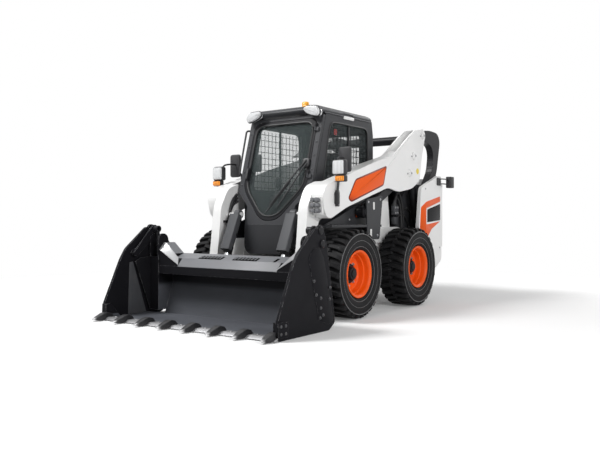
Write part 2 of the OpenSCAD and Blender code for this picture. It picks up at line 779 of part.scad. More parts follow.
module cutting_edge() color(steel) place() {
    edge_x = tooth_x - 150;
    slab(-bucket_w / 2, bucket_w / 2) polygon([[edge_x, 0], [edge_x + 40, 6], [edge_x + 40, 12],
    [edge_x, 30]]);
    pitch = (bucket_w - 90) / (tooth_n - 1);
    for (i = [0:tooth_n - 1]) translate([0, (i - (tooth_n - 1) / 2) * pitch, 0]) slab(-32, 32) polygon([
        [edge_x + 40, 2], [tooth_x - 40, 8], [tooth_x, 26], [tooth_x - 6, 38], [edge_x + 80, 66],
        [edge_x + 20, 74],
        [edge_x, 66], [edge_x, 30], [edge_x + 40, 12]
    ]);
}

clam_len = norm(clam_eye - clam_base);
clam_y = blade_y - 70;

module clam_barrels() color(black_paint) place() both() difference() {
    union() {
        bar(clam_base, clam_eye, clam_barrel_d / 2, clam_y, 20, clam_len - 160);
        pin(clam_base, 34, clam_y - 30, clam_y + 30);
    }
    pin(clam_base, 18 + pin_gap, clam_y - 31, clam_y + 31);
    bar(clam_base, clam_eye, 20 + pin_gap, clam_y, 60, clam_len);
}

module clam_rods() color(steel) place() both() {
    bar(clam_base, clam_eye, 20, clam_y, 135, clam_len - 25);
    difference() {
        pin(clam_eye, 32, clam_y - 25, clam_y + 25);
        pin(clam_eye, 19, clam_y - 26, clam_y + 26);
    }
}

// Wheels

rim_r = rim_d / 2;
bead_r = rim_r - 19;
bead_y = tyre_w / 2 - 40;

tread_r = tyre_r - 34;

module tyre() color(rubber) {
    rotate([-90, 0, 0]) rotate_extrude() polygon([
        [bead_r, -bead_y], [rim_r + 4, -bead_y - 2], [rim_r + 30, -tyre_w / 2 + 12],
        [rim_r + 75, -tyre_w / 2],
        [tread_r - 30, -tyre_w / 2 + 8], [tread_r, -tyre_w / 2 + 40], [tread_r, tyre_w / 2 - 40],
        [tread_r - 30, tyre_w / 2 - 8], [rim_r + 75, tyre_w / 2], [rim_r + 30, tyre_w / 2 - 12],
        [rim_r + 4, bead_y + 2],
        [bead_r, bead_y]
    ]);
    for (side = [-1, 1], i = [0:lug_n - 1])
        rotate([0, (i + (side < 0 ? 0.5 : 0)) * 360 / lug_n, 0])
            translate([0, side * tyre_w / 4, 0])
                rotate([0, 0, side * lug_slant]) lug();
}

// A bar of the tread on top of the wheel, sunk into the tyre's body.
module lug() {
    lug_w = 52;
    lug_len = tyre_w / 2 - 8;
    box([-lug_w / 2, -lug_len / 2, tread_r - 50], [lug_w / 2, lug_len / 2, tyre_r]);
}

module rim() color(rim_paint) rotate([-90, 0, 0]) {
    flange_y = bead_y + 18;
    disc_y = flange_y - disc_depth;
    seat_r = bead_r - seat_gap;
    rotate_extrude() polygon([
        [seat_r - 15, -flange_y], [rim_r, -flange_y], [rim_r, -bead_y - 4], [seat_r, -bead_y - 4],
        [seat_r, bead_y + 4], [rim_r, bead_y + 4], [rim_r, flange_y], [seat_r - 15, flange_y],
        [seat_r - 20, disc_y + 16], [70, disc_y + 16], [70, disc_y + 40], [0, disc_y + 40], [0, 25],
        [spindle_d / 2 + pin_gap, 25], [spindle_d / 2 + pin_gap, -20], [75, -20], [75, disc_y - 10],
        [100, disc_y],
        [seat_r - 15, disc_y]
    ]);
}

// Sets a wheel piece on the axle at x, with its outer face to the left or to the right.
module wheel_at(x, side) place()
    translate([x, side * wheel_y, tyre_r]) mirror([0, side < 0 ? 1 : 0, 0]) children();

module tyre_front_left() wheel_at(wheelbase, 1) tyre();
module tyre_front_right() wheel_at(wheelbase, -1) tyre();
module tyre_rear_left() wheel_at(0, 1) tyre();
module tyre_rear_right() wheel_at(0, -1) tyre();
module rim_front_left() wheel_at(wheelbase, 1) rim();
module rim_front_right() wheel_at(wheelbase, -1) rim();
module rim_rear_left() wheel_at(0, 1) rim();
module rim_rear_right() wheel_at(0, -1) rim();

main_frame();
axle_tubes();
uprights();
side_covers();
rear_bumper();
engine_block();
engine_cover();
side_panels();
cab_floor();
cab_sides();
cab_rear_wall();
cab_roof();
cab_front();
cab_windows();
window_guards();
seat_base();
seat_cushions();
control_consoles();
roof_lamps();
beacon();
rear_lamps();
grab_rail();
door_frame();
door_glass();
door_wiper();
tailgate();
boom_arms();
boom_cross_tubes();
boom_towers();
lamp_posts();
headlamps();
rear_links();
stay_links();
lift_barrels();
lift_rods();
tilt_barrels();
tilt_rods();
attach_carrier();
bucket_blade();
bucket_clam();
cutting_edge();
clam_barrels();
clam_rods();
tyre_front_left();
tyre_front_right();
tyre_rear_left();
tyre_rear_right();
rim_front_left();
rim_front_right();
rim_rear_left();
rim_rear_right();
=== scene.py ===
"""Looks of the skid steer loader: finishes, tread, hoses, cushions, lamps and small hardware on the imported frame."""
import json
import math

import bmesh
import bpy
import numpy as np
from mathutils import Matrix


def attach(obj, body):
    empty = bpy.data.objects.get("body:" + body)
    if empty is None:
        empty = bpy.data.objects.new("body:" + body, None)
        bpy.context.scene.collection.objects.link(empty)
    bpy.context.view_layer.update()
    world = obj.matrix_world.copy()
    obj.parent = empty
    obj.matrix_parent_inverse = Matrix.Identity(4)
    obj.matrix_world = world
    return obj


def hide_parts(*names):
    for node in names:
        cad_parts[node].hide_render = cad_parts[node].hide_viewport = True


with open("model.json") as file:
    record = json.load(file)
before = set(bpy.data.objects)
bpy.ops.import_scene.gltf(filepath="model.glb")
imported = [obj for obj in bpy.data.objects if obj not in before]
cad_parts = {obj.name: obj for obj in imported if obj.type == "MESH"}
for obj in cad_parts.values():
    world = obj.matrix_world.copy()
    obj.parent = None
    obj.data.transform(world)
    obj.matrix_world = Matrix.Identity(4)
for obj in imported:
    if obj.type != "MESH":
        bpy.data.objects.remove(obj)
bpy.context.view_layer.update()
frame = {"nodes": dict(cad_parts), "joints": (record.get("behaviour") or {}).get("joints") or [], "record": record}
pins = {j["name"]: np.array(j["pos_m"], float) for j in frame["joints"] if "pos_m" in j}

REAR_AXLE_X = -0.872
WHEELBASE = 1.240
ARM_OUT = 0.715
COVER_OUT = 0.775
CAB_Y = 0.455
DOOR_FOOT = (REAR_AXLE_X + WHEELBASE + 0.235, 1.000)
DOOR_LEAN = math.atan2(0.285, 0.985)
TAU = 2 * math.pi


# Finishes

class Val:
    """A shader socket that does arithmetic: each operator adds one Math node to its finish."""

    def __init__(self, finish, socket):
        self.finish, self.socket = finish, socket

    def math(self, operation, a, b=0.0):
        return self.finish.node("Math", {"operation": operation}, {0: a, 1: b})

    def __add__(self, other):
        return self.math("ADD", self, other)

    def __mul__(self, other):
        return self.math("MULTIPLY", self, other)

    def __sub__(self, other):
        return self.math("SUBTRACT", self, other)

    def __rsub__(self, other):
        return self.math("SUBTRACT", other, self)

    def __gt__(self, other):
        return self.math("GREATER_THAN", self, other)

    def __lt__(self, other):
        return self.math("LESS_THAN", self, other)

    __radd__, __rmul__ = __add__, __mul__

    def wave(self):
        return self.math("SINE", self)

    def size(self):
        return self.math("ABSOLUTE", self)


class Finish:
    """One material: node() adds any shader node, shade() fills the sockets of its surface shader."""

    def __init__(self, name, slot):
        self.material = bpy.data.materials.new(name)
        self.material.use_nodes = True
        self.slot = slot
        self.tree = self.material.node_tree
        self.shader = self.tree.nodes["Principled BSDF"]
        self.at = self.node("TexCoord", out="Object")

    def node(self, kind, settings=None, sockets=None, out=0):
        made = self.tree.nodes.new("ShaderNode" + kind)
        for key, value in (settings or {}).items():
            setattr(made, key, value)
        self.fill(made, sockets or {})
        return Val(self, made.outputs[out])

    def fill(self, made, sockets):
        for key, value in sockets.items():
            if isinstance(value, Val):
                self.tree.links.new(value.socket, made.inputs[key])
            else:
                made.inputs[key].default_value = value

    def shade(self, **sockets):
        self.fill(self.shader, {key.replace("_", " "): value for key, value in sockets.items()})
        return self

    def axes(self):
        return [self.node("SeparateXYZ", sockets={0: self.at}, out=k) for k in range(3)]

    def noise(self, scale, detail=3.0, stretch=None):
        where = self.at if stretch is None else self.node("Mapping", sockets={"Vector": self.at, "Scale": stretch})
        return self.node("TexNoise", sockets={"Vector": where, "Scale": scale, "Detail": detail})

    def ease(self, value, low, high):
        return self.node("MapRange", {"interpolation_type": "SMOOTHSTEP"}, {0: value, 1: low, 2: high})

    def mix(self, factor, a, b):
        return self.node("Mix", {"data_type": "RGBA"}, {0: factor, 6: a, 7: b}, out=2)

    def bump(self, height, depth, rounding=0.0):
        sockets = {"Height": height, "Distance": depth, "Strength": 1.0}
        if rounding:
            sockets["Normal"] = self.rounded(rounding)
        return self.node("Bump", sockets=sockets)

    def rounded(self, radius):
        return self.node("Bevel", {"samples": 4}, {"Radius": radius})

    def edges(self, radius):
        """1 on sharp edges and 0 on flats: how far the rounded normal turns from the face's own normal."""
        own = self.node("NewGeometry", out="Normal")
        along = self.node("VectorMath", {"operation": "DOT_PRODUCT"},
                          {0: self.rounded(radius), 1: own}, out="Value")
        return self.ease(1 - along, 0.02, 0.25)


def shade_of(colour, factor):
    """The colour times a factor, no channel past 1."""
    return tuple(min(1.0, c * factor) for c in colour[:3]) + (1.0,)


def grey(tone):
    """An even grey as a shader colour."""
    return (tone, tone, tone, 1.0)


def paint(name, slot, colour, rough, coat, chip, dust=0.25, shine=0.5):
    """Sprayed enamel: slow drift of tone, orange peel, chips of primer on worn edges and dust low on the machine."""
    f = Finish(name, slot)
    drift = f.noise(2.2, 4.0)
    tone = f.mix(drift, shade_of(colour, 0.90), shade_of(colour, 1.08))
    wear = f.edges(0.006) * f.ease(f.noise(38.0, 5.0), 0.52, 0.66)
    chipped = f.mix(wear * 0.6, tone, chip)
    height = f.axes()[2]
    grime = (1 - f.ease(height, 0.02, 0.75)) * f.ease(f.noise(6.0, 6.0), 0.42, 0.75) * dust
    f.shade(Base_Color=f.mix(grime, chipped, (0.30, 0.27, 0.23, 1.0)),
            Roughness=rough + f.noise(9.0, 4.0) * 0.14 + grime * 0.35 - 0.07,
            Coat_Weight=coat, Coat_Roughness=0.12, Specular_IOR_Level=shine,
            Normal=f.bump(f.noise(420.0, 2.0), 0.00025, 0.005))
    return f


def worn_steel(name, slot, colour, rough, stretch, scratch):
    """Bare metal: streaks drawn out along one direction that change both tone and gloss."""
    f = Finish(name, slot)
    streak = f.noise(60.0, 6.0, stretch)
    patch = f.noise(7.0, 5.0)
    f.shade(Base_Color=f.mix(streak * 0.6 + patch * 0.4, shade_of(colour, 0.72), shade_of(colour, 1.18)),
            Metallic=0.95, Roughness=rough + streak * 0.16 + patch * 0.12 - 0.1,
            Normal=f.bump(streak, scratch, 0.003))
    return f


def lens(name, slot, colour, glow, ribs):
    """Moulded lamp lens: upright flutes raised as a sine of the place across, over a bright reflector tone."""
    f = Finish(name, slot)
    across = f.axes()[1]
    flute = (across * ribs).wave()
    f.shade(Base_Color=f.mix(f.ease(flute, -0.9, 0.4), shade_of(colour, 0.60), shade_of(colour, 1.05)),
            Roughness=0.12 + f.noise(25.0) * 0.06, Coat_Weight=0.4, Coat_Roughness=0.04,
            Emission_Color=colour, Emission_Strength=glow, Normal=f.bump(flute, 0.0012))
    return f


def plastic(name, slot, colour, rough, grain):
    """Moulded plastic: fine leather grain and a faint cloudiness of tone."""
    f = Finish(name, slot)
    f.shade(Base_Color=f.mix(f.noise(5.0, 4.0), shade_of(colour, 0.8), shade_of(colour, 1.25)),
            Roughness=rough + f.noise(14.0, 3.0) * 0.12 - 0.06,
            Normal=f.bump(f.noise(520.0, 3.0), grain, 0.003))
    return f


white_paint = paint("white_paint", "white_paint", (0.86, 0.86, 0.855), 0.32, 0.25, grey(0.42))
charcoal_paint = paint("charcoal_paint", "dark_paint", (0.040, 0.041, 0.045), 0.42, 0.06, grey(0.14), 0.12, 0.16)
black_paint = paint("black_paint", "black_paint", (0.012, 0.012, 0.014), 0.40, 0.04, grey(0.11), 0.10, 0.12)
rim_paint = paint("rim_paint", "rim_paint", (0.92, 0.108, 0.005), 0.40, 0.08, (0.50, 0.16, 0.06, 1.0), 0.06, 0.22)
grey_paint = paint("grey_paint", "dark_paint", (0.070, 0.072, 0.078), 0.42, 0.06, grey(0.16), 0.12, 0.20)
decal_orange = paint("decal_orange", "rim_paint", (0.88, 0.108, 0.005), 0.42, 0.04,
                     (0.6, 0.2, 0.1, 1.0), 0.0, 0.18)
decal_border = paint("decal_border", "rim_paint", (0.17, 0.018, 0.006), 0.42, 0.04,
                     (0.3, 0.1, 0.05, 1.0), 0.0, 0.18)
edge_steel = worn_steel("edge_steel", "steel", (0.56, 0.56, 0.57), 0.36, (1.0, 14.0, 1.0), 0.0006)
chrome = worn_steel("chrome", "steel", (0.72, 0.73, 0.75), 0.12, (8.0, 8.0, 1.0), 0.00005)
bolt_steel = worn_steel("bolt_steel", "steel", (0.46, 0.46, 0.47), 0.34, (3.0, 3.0, 3.0), 0.0003)
clear_lens = lens("clear_lens", "lamp", (0.74, 0.75, 0.76, 1.0), 0.02, 420.0)
amber_lens = lens("amber_lens", "amber", (0.92, 0.30, 0.015, 1.0), 0.10, 300.0)
beacon_lens = lens("beacon_lens", "amber", (0.95, 0.42, 0.025, 1.0), 0.30, 300.0)
# The red lens glows faintly: a lamp glow on the tail lamps, a painted glow on the reflectors and the cab's red tag,
# which are no lamps.
red_lens = lens("red_lens", "amber", (0.62, 0.020, 0.015, 1.0), 0.05, 300.0)
# Light grey for the raised flank rings: a painted highlight, the shine that runs round each glossy black flank.
tyre_ring_highlight = plastic("tyre_ring_highlight", "tyre", (0.115, 0.115, 0.118), 0.45, 0.0002)
trim_plastic = plastic("trim_plastic", "trim", (0.020, 0.020, 0.022), 0.55, 0.0003)
hose_rubber = plastic("hose_rubber", "trim", (0.014, 0.014, 0.015), 0.50, 0.0004)
lip_steel = worn_steel("lip_steel", "steel", (0.46, 0.46, 0.47), 0.42, (1.0, 14.0, 1.0), 0.0006)
mirror_glass = worn_steel("mirror_glass", "steel", (0.86, 0.88, 0.90), 0.05, (1.0, 1.0, 1.0), 0.00001)
# Mid grey on the black bucket steel: painted light on the shelf, apron and rungs, the lit look of their upward faces;
# on the couplers it is their own grey.
lit_shelf_and_coupler_grey = paint("lit_shelf_and_coupler_grey", "black_paint", (0.180, 0.184, 0.196), 0.46, 0.03, grey(0.45), 0.10, 0.2)
# Light glossy grey on the black bucket steel: painted highlight, the sloping corner ramps shown lit.
lit_ramp_grey = paint("lit_ramp_grey", "black_paint", (0.34, 0.345, 0.355), 0.34, 0.50, grey(0.45), 0.05, 0.4)
# Flat black sheet: painted shade, the dark inside of the open step slots.
slot_painted_shade = paint("slot_painted_shade", "black_paint", (0.006, 0.006, 0.006), 0.85, 0.0, grey(0.02), 0.0, 0.0)
reflector_white = plastic("reflector_white", "lamp", (0.78, 0.78, 0.77), 0.30, 0.0002)
sticker_yellow = plastic("sticker_yellow", "amber", (0.80, 0.62, 0.03), 0.35, 0.0001)


def tyre_rubber():
    """Rubber: brownish grey dust in patches, fine pores, and a satin sheen on the flanks."""
    f = Finish("tyre_rubber", "tyre")
    dust = f.ease(f.noise(9.0, 6.0), 0.50, 0.80) * 0.20
    f.shade(Base_Color=f.mix(dust, f.mix(f.noise(3.0), (0.010, 0.010, 0.011, 1), (0.018, 0.018, 0.019, 1)),
                             (0.070, 0.066, 0.060, 1.0)),
            Roughness=0.56 + f.noise(12.0, 4.0) * 0.2 - 0.06 + dust * 0.3, Specular_IOR_Level=0.10,
            Normal=f.bump(f.noise(260.0, 4.0), 0.0006, 0.005))
    return f


def window_glass():
    """Tinted pane: mostly clear, with a faint smear of dust that lifts its roughness and its cover."""
    f = Finish("window_glass", "glass")
    smear = f.ease(f.noise(2.5, 5.0), 0.45, 0.85)
    f.shade(Base_Color=(0.16, 0.195, 0.195, 1.0), Roughness=0.03 + smear * 0.05,
            Alpha=0.14 + smear * 0.04, Specular_IOR_Level=0.15)
    return f


def seat_cloth():
    """Woven seat cover: two crossing sines raise the threads, and a slow noise fades the dye."""
    f = Finish("seat_cloth", "seat_cover")
    x, y, z = f.axes()
    weave = ((x + z) * 2600.0).wave() * ((y + z * 0.3) * 2600.0).wave()
    f.shade(Base_Color=f.mix(f.noise(8.0, 4.0), (0.020, 0.020, 0.022, 1), (0.050, 0.050, 0.054, 1)),
            Roughness=0.85 + f.noise(30.0) * 0.1 - 0.05, Sheen_Weight=0.25, Normal=f.bump(weave, 0.0004))
    return f


def cast_block():
    """Painted casting: coarse sand texture under grey enamel, with oily darker patches."""
    f = Finish("cast_block", "engine")
    oil = f.ease(f.noise(5.0, 5.0), 0.45, 0.7)
    f.shade(Base_Color=f.mix(oil, (0.11, 0.11, 0.115, 1), (0.035, 0.033, 0.03, 1)),
            Roughness=0.65 - oil * 0.25, Normal=f.bump(f.noise(160.0, 5.0), 0.0012, 0.006))
    return f


def lit_floor_bucket_enamel():
    """Bucket enamel: near black outside, painted light grey where the load slides over the floor and the lower back:
    the lit floor and back laid in as colour, in scuffed streaks.
    """
    f = Finish("lit_floor_bucket_enamel", "black_paint")
    _, y, z = f.axes()
    # Painted light mask: inside the bucket below the shelf and along the bottom, where the lit floor and lower back
    # are laid in as grey.
    painted_light_low = (y.size() < 0.86) * (1 - f.ease(z, 0.27, 0.33)) + (y.size() < 1.0) * (z < 0.05)
    scuff = f.noise(5.0, 6.0, (1.0, 0.25, 1.0))
    wear = f.edges(0.005) * f.ease(f.noise(30.0, 5.0), 0.40, 0.60)
    tone = f.mix(f.noise(3.0, 4.0), (0.008, 0.008, 0.0095, 1), (0.014, 0.0138, 0.0165, 1))
    # Painted light: where the mask is, the black tone is lifted to grey as if lit, broken up by scuff streaks.
    worn = f.mix(painted_light_low.math("MINIMUM", painted_light_low, 1.0) * (0.55 + scuff * 0.7), tone, (0.098, 0.103, 0.116, 1))
    f.shade(Base_Color=f.mix(wear * 0.8, worn, (0.34, 0.34, 0.35, 1)), Roughness=0.36 + scuff * 0.22,
            Specular_IOR_Level=0.05, Metallic=wear * 0.6, Normal=f.bump(scuff, 0.0006, 0.004))
    return f


def tooth_steel():
    """Forged tooth: black enamel on the shank, ground bright towards the tip by the soil, and brightened along every
    edge, partly wear and partly a painted highlight.
    """
    f = Finish("tooth_steel", "steel")
    x = f.axes()[0]
    streak = f.noise(40.0, 5.0, (0.2, 3.0, 3.0))
    bright = f.ease(x + streak * 0.05, 1.945, 1.985)
    # Every edge brightened as well: partly edge wear, partly a painted highlight along the edges.
    bright = bright.math("MAXIMUM", bright, f.edges(0.006) * 0.8)
    f.shade(Base_Color=f.mix(bright, (0.018, 0.018, 0.020, 1), (0.62, 0.62, 0.63, 1)),
            Metallic=0.25 + bright * 0.7, Roughness=0.42 - bright * 0.12 + streak * 0.1,
            Normal=f.bump(streak, 0.0005, 0.004))
    return f


def decal_print():
    """Printed decal: burnt orange at its lower front corner that clears to bright orange upwards and rearwards."""
    f = Finish("decal_print", "rim_paint")
    x, _, z = f.axes()
    clear = f.ease(z - x * 0.2 + f.noise(3.0) * 0.02, 1.03, 1.17)
    f.shade(Base_Color=f.mix(clear, (0.36, 0.028, 0.006, 1), (0.88, 0.108, 0.005, 1)),
            Roughness=0.40 + f.noise(9.0, 4.0) * 0.1 - 0.05, Specular_IOR_Level=0.18,
            Normal=f.bump(f.noise(420.0, 2.0), 0.0002, 0.003))
    return f


arm_print = decal_print()
rubber, glass, cloth, casting = tyre_rubber(), window_glass(), seat_cloth(), cast_block()
bucket_paint, tooth_metal = lit_floor_bucket_enamel(), tooth_steel()

FINISH_OF = {
    "white_paint": white_paint, "dark_paint": charcoal_paint, "black_paint": black_paint, "rim_paint": rim_paint,
    "steel": edge_steel, "tyre": rubber, "glass": glass, "lamp": clear_lens, "amber": amber_lens,
    "trim": trim_plastic, "seat_cover": cloth, "engine": casting,
}
OWN_FINISH = {"lift_rods": chrome, "tilt_rods": chrome, "clam_rods": black_paint, "tilt_barrels": grey_paint,
              "door_frame": black_paint, "bucket_blade": bucket_paint, "bucket_clam": bucket_paint}
for part in frame["record"]["subparts"]:
    node = frame["nodes"][part["node"]]
    worn = OWN_FINISH.get(part["node"], FINISH_OF[part["material_slot"]])
    for place in node.material_slots:
        place.material = worn.material


# Surfaces

def grid(points, loop_u=False, loop_v=False):
    """Patch over an n by m array of points: a quad between each four neighbours, wrapping where one loops."""
    n, m = points.shape[:2]
    i = np.arange(n if loop_u else n - 1)[:, None]
    j = np.arange(m if loop_v else m - 1)[None, :]
    ahead, beside = (i + 1) % n, (j + 1) % m
    quads = np.stack([i * m + j, i * m + beside, ahead * m + beside, ahead * m + j], -1)
    return points.reshape(-1, 3), quads.reshape(-1, 4).tolist()


def capped(rings):
    """Patch over rings, first index along the body and second round it, with one face across each end."""
    n, m = rings.shape[:2]
    points, quads = grid(rings, loop_v=True)
    ring = np.arange(m)
    return points, quads + [ring[::-1].tolist(), (ring + (n - 1) * m).tolist()]


def join(*patches):
    """One patch from several, with each one's point numbers moved past those before it."""
    starts = np.cumsum([0] + [len(points) for points, _ in patches])
    faces = [[k + start for k in face] for start, (_, own) in zip(starts, patches) for face in own]
    return np.concatenate([points for points, _ in patches]), faces


def copies(patch, offsets):
    """The patch at each of a list of offsets."""
    return join(*[(patch[0] + np.asarray(offset, float), patch[1]) for offset in offsets])


def mirrored(patch):
    """The patch and its mirror image across the machine's middle plane."""
    return join(patch, (patch[0] * [1, -1, 1], patch[1]))


def flow(points, n):
    """Catmull-Rom curve through the points: n samples, each a cubic blend of its four nearest points."""
    p = np.asarray(points, float)
    p = np.vstack([2 * p[0] - p[1], p, 2 * p[-1] - p[-2]])
    t = np.linspace(0, len(p) - 3, n)
    k = np.minimum(t.astype(int), len(p) - 4)
    u = (t - k)[:, None]
    a, b, c, d = p[k], p[k + 1], p[k + 2], p[k + 3]
    return 0.5 * (2 * b + (c - a) * u + (2 * a - 5 * b + 4 * c - d) * u**2 + (3 * b - a - 3 * c + d) * u**3)


def unit(v):
    """Each vector divided by its length."""
    return v / np.linalg.norm(v, axis=-1, keepdims=True)


def tube(path, radius, sides=10):
    """A circle carried along a path: path + radius (cos a n + sin a b), with n and b square to the path."""
    path = np.asarray(path, float)
    along = unit(np.gradient(path, axis=0))
    reference = np.eye(3)[np.argmin(np.abs(along).mean(0))]
    n = unit(np.cross(along, reference))
    b = np.cross(along, n)
    a = np.arange(sides)[None, :, None] * TAU / sides
    radius = np.broadcast_to(radius, len(path))[:, None, None]
    return capped(path[:, None] + radius * (np.cos(a) * n[:, None] + np.sin(a) * b[:, None]))


def lathe(profile, centre, axis="y", sides=48):
    """A profile of (radius, height) turned about an axis through a centre: radius cos a, radius sin a, height."""
    profile = np.asarray(profile, float)
    a = np.arange(sides) * TAU / sides
    c, s = np.outer(profile[:, 0], np.cos(a)), np.outer(profile[:, 0], np.sin(a))
    height = np.repeat(profile[:, 1:], sides, 1)
    order = {"x": (height, c, s), "y": (c, height, s), "z": (c, s, height)}[axis]
    return capped(np.stack(order, -1) + np.asarray(centre, float))


def rounded(outline, radius, n=5):
    """The outline with each corner replaced by a parabola that leaves and joins its two sides at the radius."""
    p = np.asarray(outline, float)
    back, ahead = np.roll(p, 1, 0) - p, np.roll(p, -1, 0) - p
    shorter = np.minimum(np.linalg.norm(back, axis=1), np.linalg.norm(ahead, axis=1))
    reach = np.minimum(shorter * 0.48, radius)[:, None]
    a, c = p + unit(back) * reach, p + unit(ahead) * reach
    s = np.linspace(0, 1, n)[None, :, None]
    return ((1 - s)**2 * a[:, None] + 2 * s * (1 - s) * p[:, None] + s**2 * c[:, None]).reshape(-1, 2)


def inset(outline, depth):
    """The outline moved inwards: each corner goes along the bisector of its sides, far enough to keep the depth."""
    ahead = unit(np.roll(outline, -1, 0) - outline)
    left = np.stack([-ahead[:, 1], ahead[:, 0]], 1)
    before = np.roll(left, 1, 0)
    return outline + depth * (left + before) / (1 + (left * before).sum(1, keepdims=True))


def leftward(outline):
    """The outline in the order that keeps its inside on the left, as the sign of its area tells."""
    outline = np.asarray(outline, float)
    ahead = np.roll(outline, -1, 0)
    return outline if (outline[:, 0] * ahead[:, 1] - ahead[:, 0] * outline[:, 1]).sum() > 0 else outline[::-1]


def plate(outline, low, high, edge=0.003, plane="xz"):
    """An outline carried through a thickness, its rim rounded: inset by 1 - sin and depth by 1 - cos."""
    outline = leftward(outline)
    a = np.linspace(0, math.pi / 2, 3)
    depth = np.concatenate([edge * (1 - np.sin(a)), edge * (1 - np.sin(a[::-1]))])
    height = np.concatenate([low + edge * (1 - np.cos(a)), high - edge * (1 - np.cos(a[::-1]))])
    flat = np.stack([inset(outline, d) for d in depth])
    level = np.broadcast_to(height[:, None], flat.shape[:2])
    order = {"xz": (flat[..., 0], level, flat[..., 1]), "yz": (level, flat[..., 0], flat[..., 1]),
             "xy": (flat[..., 0], flat[..., 1], level)}[plane]
    return capped(np.stack(order, -1))


def rect(u0, v0, u1, v1, radius=0.0):
    """The outline of a rectangle between two corners, with its corners rounded where a radius is given."""
    corners = np.array([(u0, v0), (u1, v0), (u1, v1), (u0, v1)], float)
    return rounded(corners, radius) if radius else corners


def block(low, high, edge=0.004):
    """A box with rounded edges: its plan carried through its height."""
    return plate(rect(low[0], low[1], high[0], high[1], edge), low[2], high[2], edge, "xy")


def on_door(points):
    """Points given as (out of the door, across, up along it) laid on the leaning plane of the door."""
    out, across, up = np.moveaxis(np.asarray(points, float), -1, 0)
    return np.stack([DOOR_FOOT[0] + out * math.cos(DOOR_LEAN) - up * math.sin(DOOR_LEAN), across,
                     DOOR_FOOT[1] + out * math.sin(DOOR_LEAN) + up * math.cos(DOOR_LEAN)], -1)


def lean(patch):
    """The patch laid on the leaning plane of the door."""
    return on_door(patch[0]), patch[1]


def mm(points):
    """Millimetres counted forward from the rear axle, as the part's source counts them, in the model's frame."""
    points = np.asarray(points, float) / 1000
    return points + np.eye(points.shape[-1])[0] * REAR_AXLE_X


def ahead(*places):
    """Places along the machine, in millimetres forward from the rear axle, as x in the model's frame."""
    return np.array(places, float) / 1000 + REAR_AXLE_X


def closed(outline, column, place):
    """The outline as a path in space that ends where it starts, with one more coordinate put in at a column."""
    return np.insert(np.vstack([outline, outline[:1]]), column, place, axis=1)


def applied(outline, wall, proud, edge):
    """A flat piece on an upright wall: an outline sunk 1 mm into the wall that stands proud of it."""
    return plate(outline, wall - 0.001, wall + proud, edge)


def spindle(start, end, profile, sides=24):
    """A profile of (distance, radius) carried along the straight line from one point towards another."""
    start, profile = np.asarray(start, float), np.asarray(profile, float)
    return tube(start + profile[:, :1] * unit(np.asarray(end, float) - start), profile[:, 1], sides)


def hose(points, radius):
    """A flexible line through the points, with a thicker crimped sleeve at each end."""
    path = flow(points, 9 * len(points))
    return join(tube(path, radius, 10), tube(path[:4], radius * 1.4, 10), tube(path[-4:], radius * 1.4, 10))


def bow(s, power):
    """Signed power: the size of s raised to the power, with the sign of s."""
    return np.sign(s) * np.abs(s)**power


def pillow(low, high, power, n=36):
    """Superellipsoid: along each axis the signed power of the sphere's cosines and sines, between two corners."""
    low, high = np.asarray(low, float), np.asarray(high, float)
    up = np.linspace(-0.49 * math.pi, 0.49 * math.pi, n)[:, None]
    about = np.arange(2 * n)[None, :] * math.pi / n
    wide = bow(np.cos(up), power)
    ball = np.stack([wide * bow(np.cos(about), power), wide * bow(np.sin(about), power),
                     bow(np.sin(up), power) + 0 * about], -1)
    return capped((low + high) / 2 + ball * (high - low) / 2)


def netting(u, v, low, high, pitch, radius):
    """Woven wire: along each direction a wire every pitch, waving across the net as a sine of its length.
    u and v give the reach (from, to) of the net, low and high the reach of the wires along u at a given v."""
    wires = []
    for k, along in enumerate(np.arange(v[0] + pitch / 2, v[1], pitch)):
        s = np.arange(low(along), high(along), pitch / 2)
        wave = radius * (-1)**k * np.sin(s * math.pi / pitch)
        wires.append(tube(np.stack([s, wave, 0 * s + along], -1), radius, 5))
    for k, across in enumerate(np.arange(u[0] + pitch / 2, u[1], pitch)):
        levels = np.arange(v[0], v[1], pitch / 2)
        s = levels[(levels >= v[0]) & (low(levels) < across) & (high(levels) > across)]
        wave = -radius * (-1)**k * np.sin(s * math.pi / pitch)
        wires.append(tube(np.stack([0 * s + across, wave, s], -1), radius, 5))
    return join(*wires)


def placed(name, data):
    """A new object in the scene that holds the data."""
    made = bpy.data.objects.new(name, data)
    bpy.context.scene.collection.objects.link(made)
    return made


def piece(name, body, finish, patch, angle=35.0, replaces=()):
    """Makes a patch a mesh object that rides on a body, faces turned outwards and smooth up to the angle."""
    mesh = bpy.data.meshes.new(name)
    mesh.from_pydata(patch[0].tolist(), [], patch[1])
    shell = bmesh.new()
    shell.from_mesh(mesh)
    bmesh.ops.recalc_face_normals(shell, faces=shell.faces)
    shell.to_mesh(mesh)
    shell.free()
    mesh.polygons.foreach_set("use_smooth", np.ones(len(mesh.polygons), bool))
    mesh.set_sharp_from_angle(angle=math.radians(angle))
    mesh.materials.append(finish.material)
    made = placed(name, mesh)
    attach(made, body)
    if replaces:
        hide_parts(*replaces)
    return made


def pair(name, body, finish, *patches, **rest):
    """One piece made of the patches and their mirror images on the machine's other side."""
    return piece(name, body, finish, mirrored(join(*patches)), **rest)


def bolt(centre, radius, height, axis="y", sign=1):
    """Hexagon head on a washer: a short turned profile with six sides under a chamfer, over a round washer."""
    tall = sign * height
    washer = lathe([(radius * 1.45, 0), (radius * 1.45, tall * 0.25), (radius * 1.3, tall * 0.3)], centre, axis, 16)
    head = lathe([(radius, tall * 0.28), (radius, tall * 0.85), (radius * 0.82, tall)], centre, axis, 6)
    return join(washer, head)


def bolts(places, radius, height, axis="y"):
    """A bolt of one size at each place."""
    return join(*[bolt(place, radius, height, axis) for place in places])


# Wheels

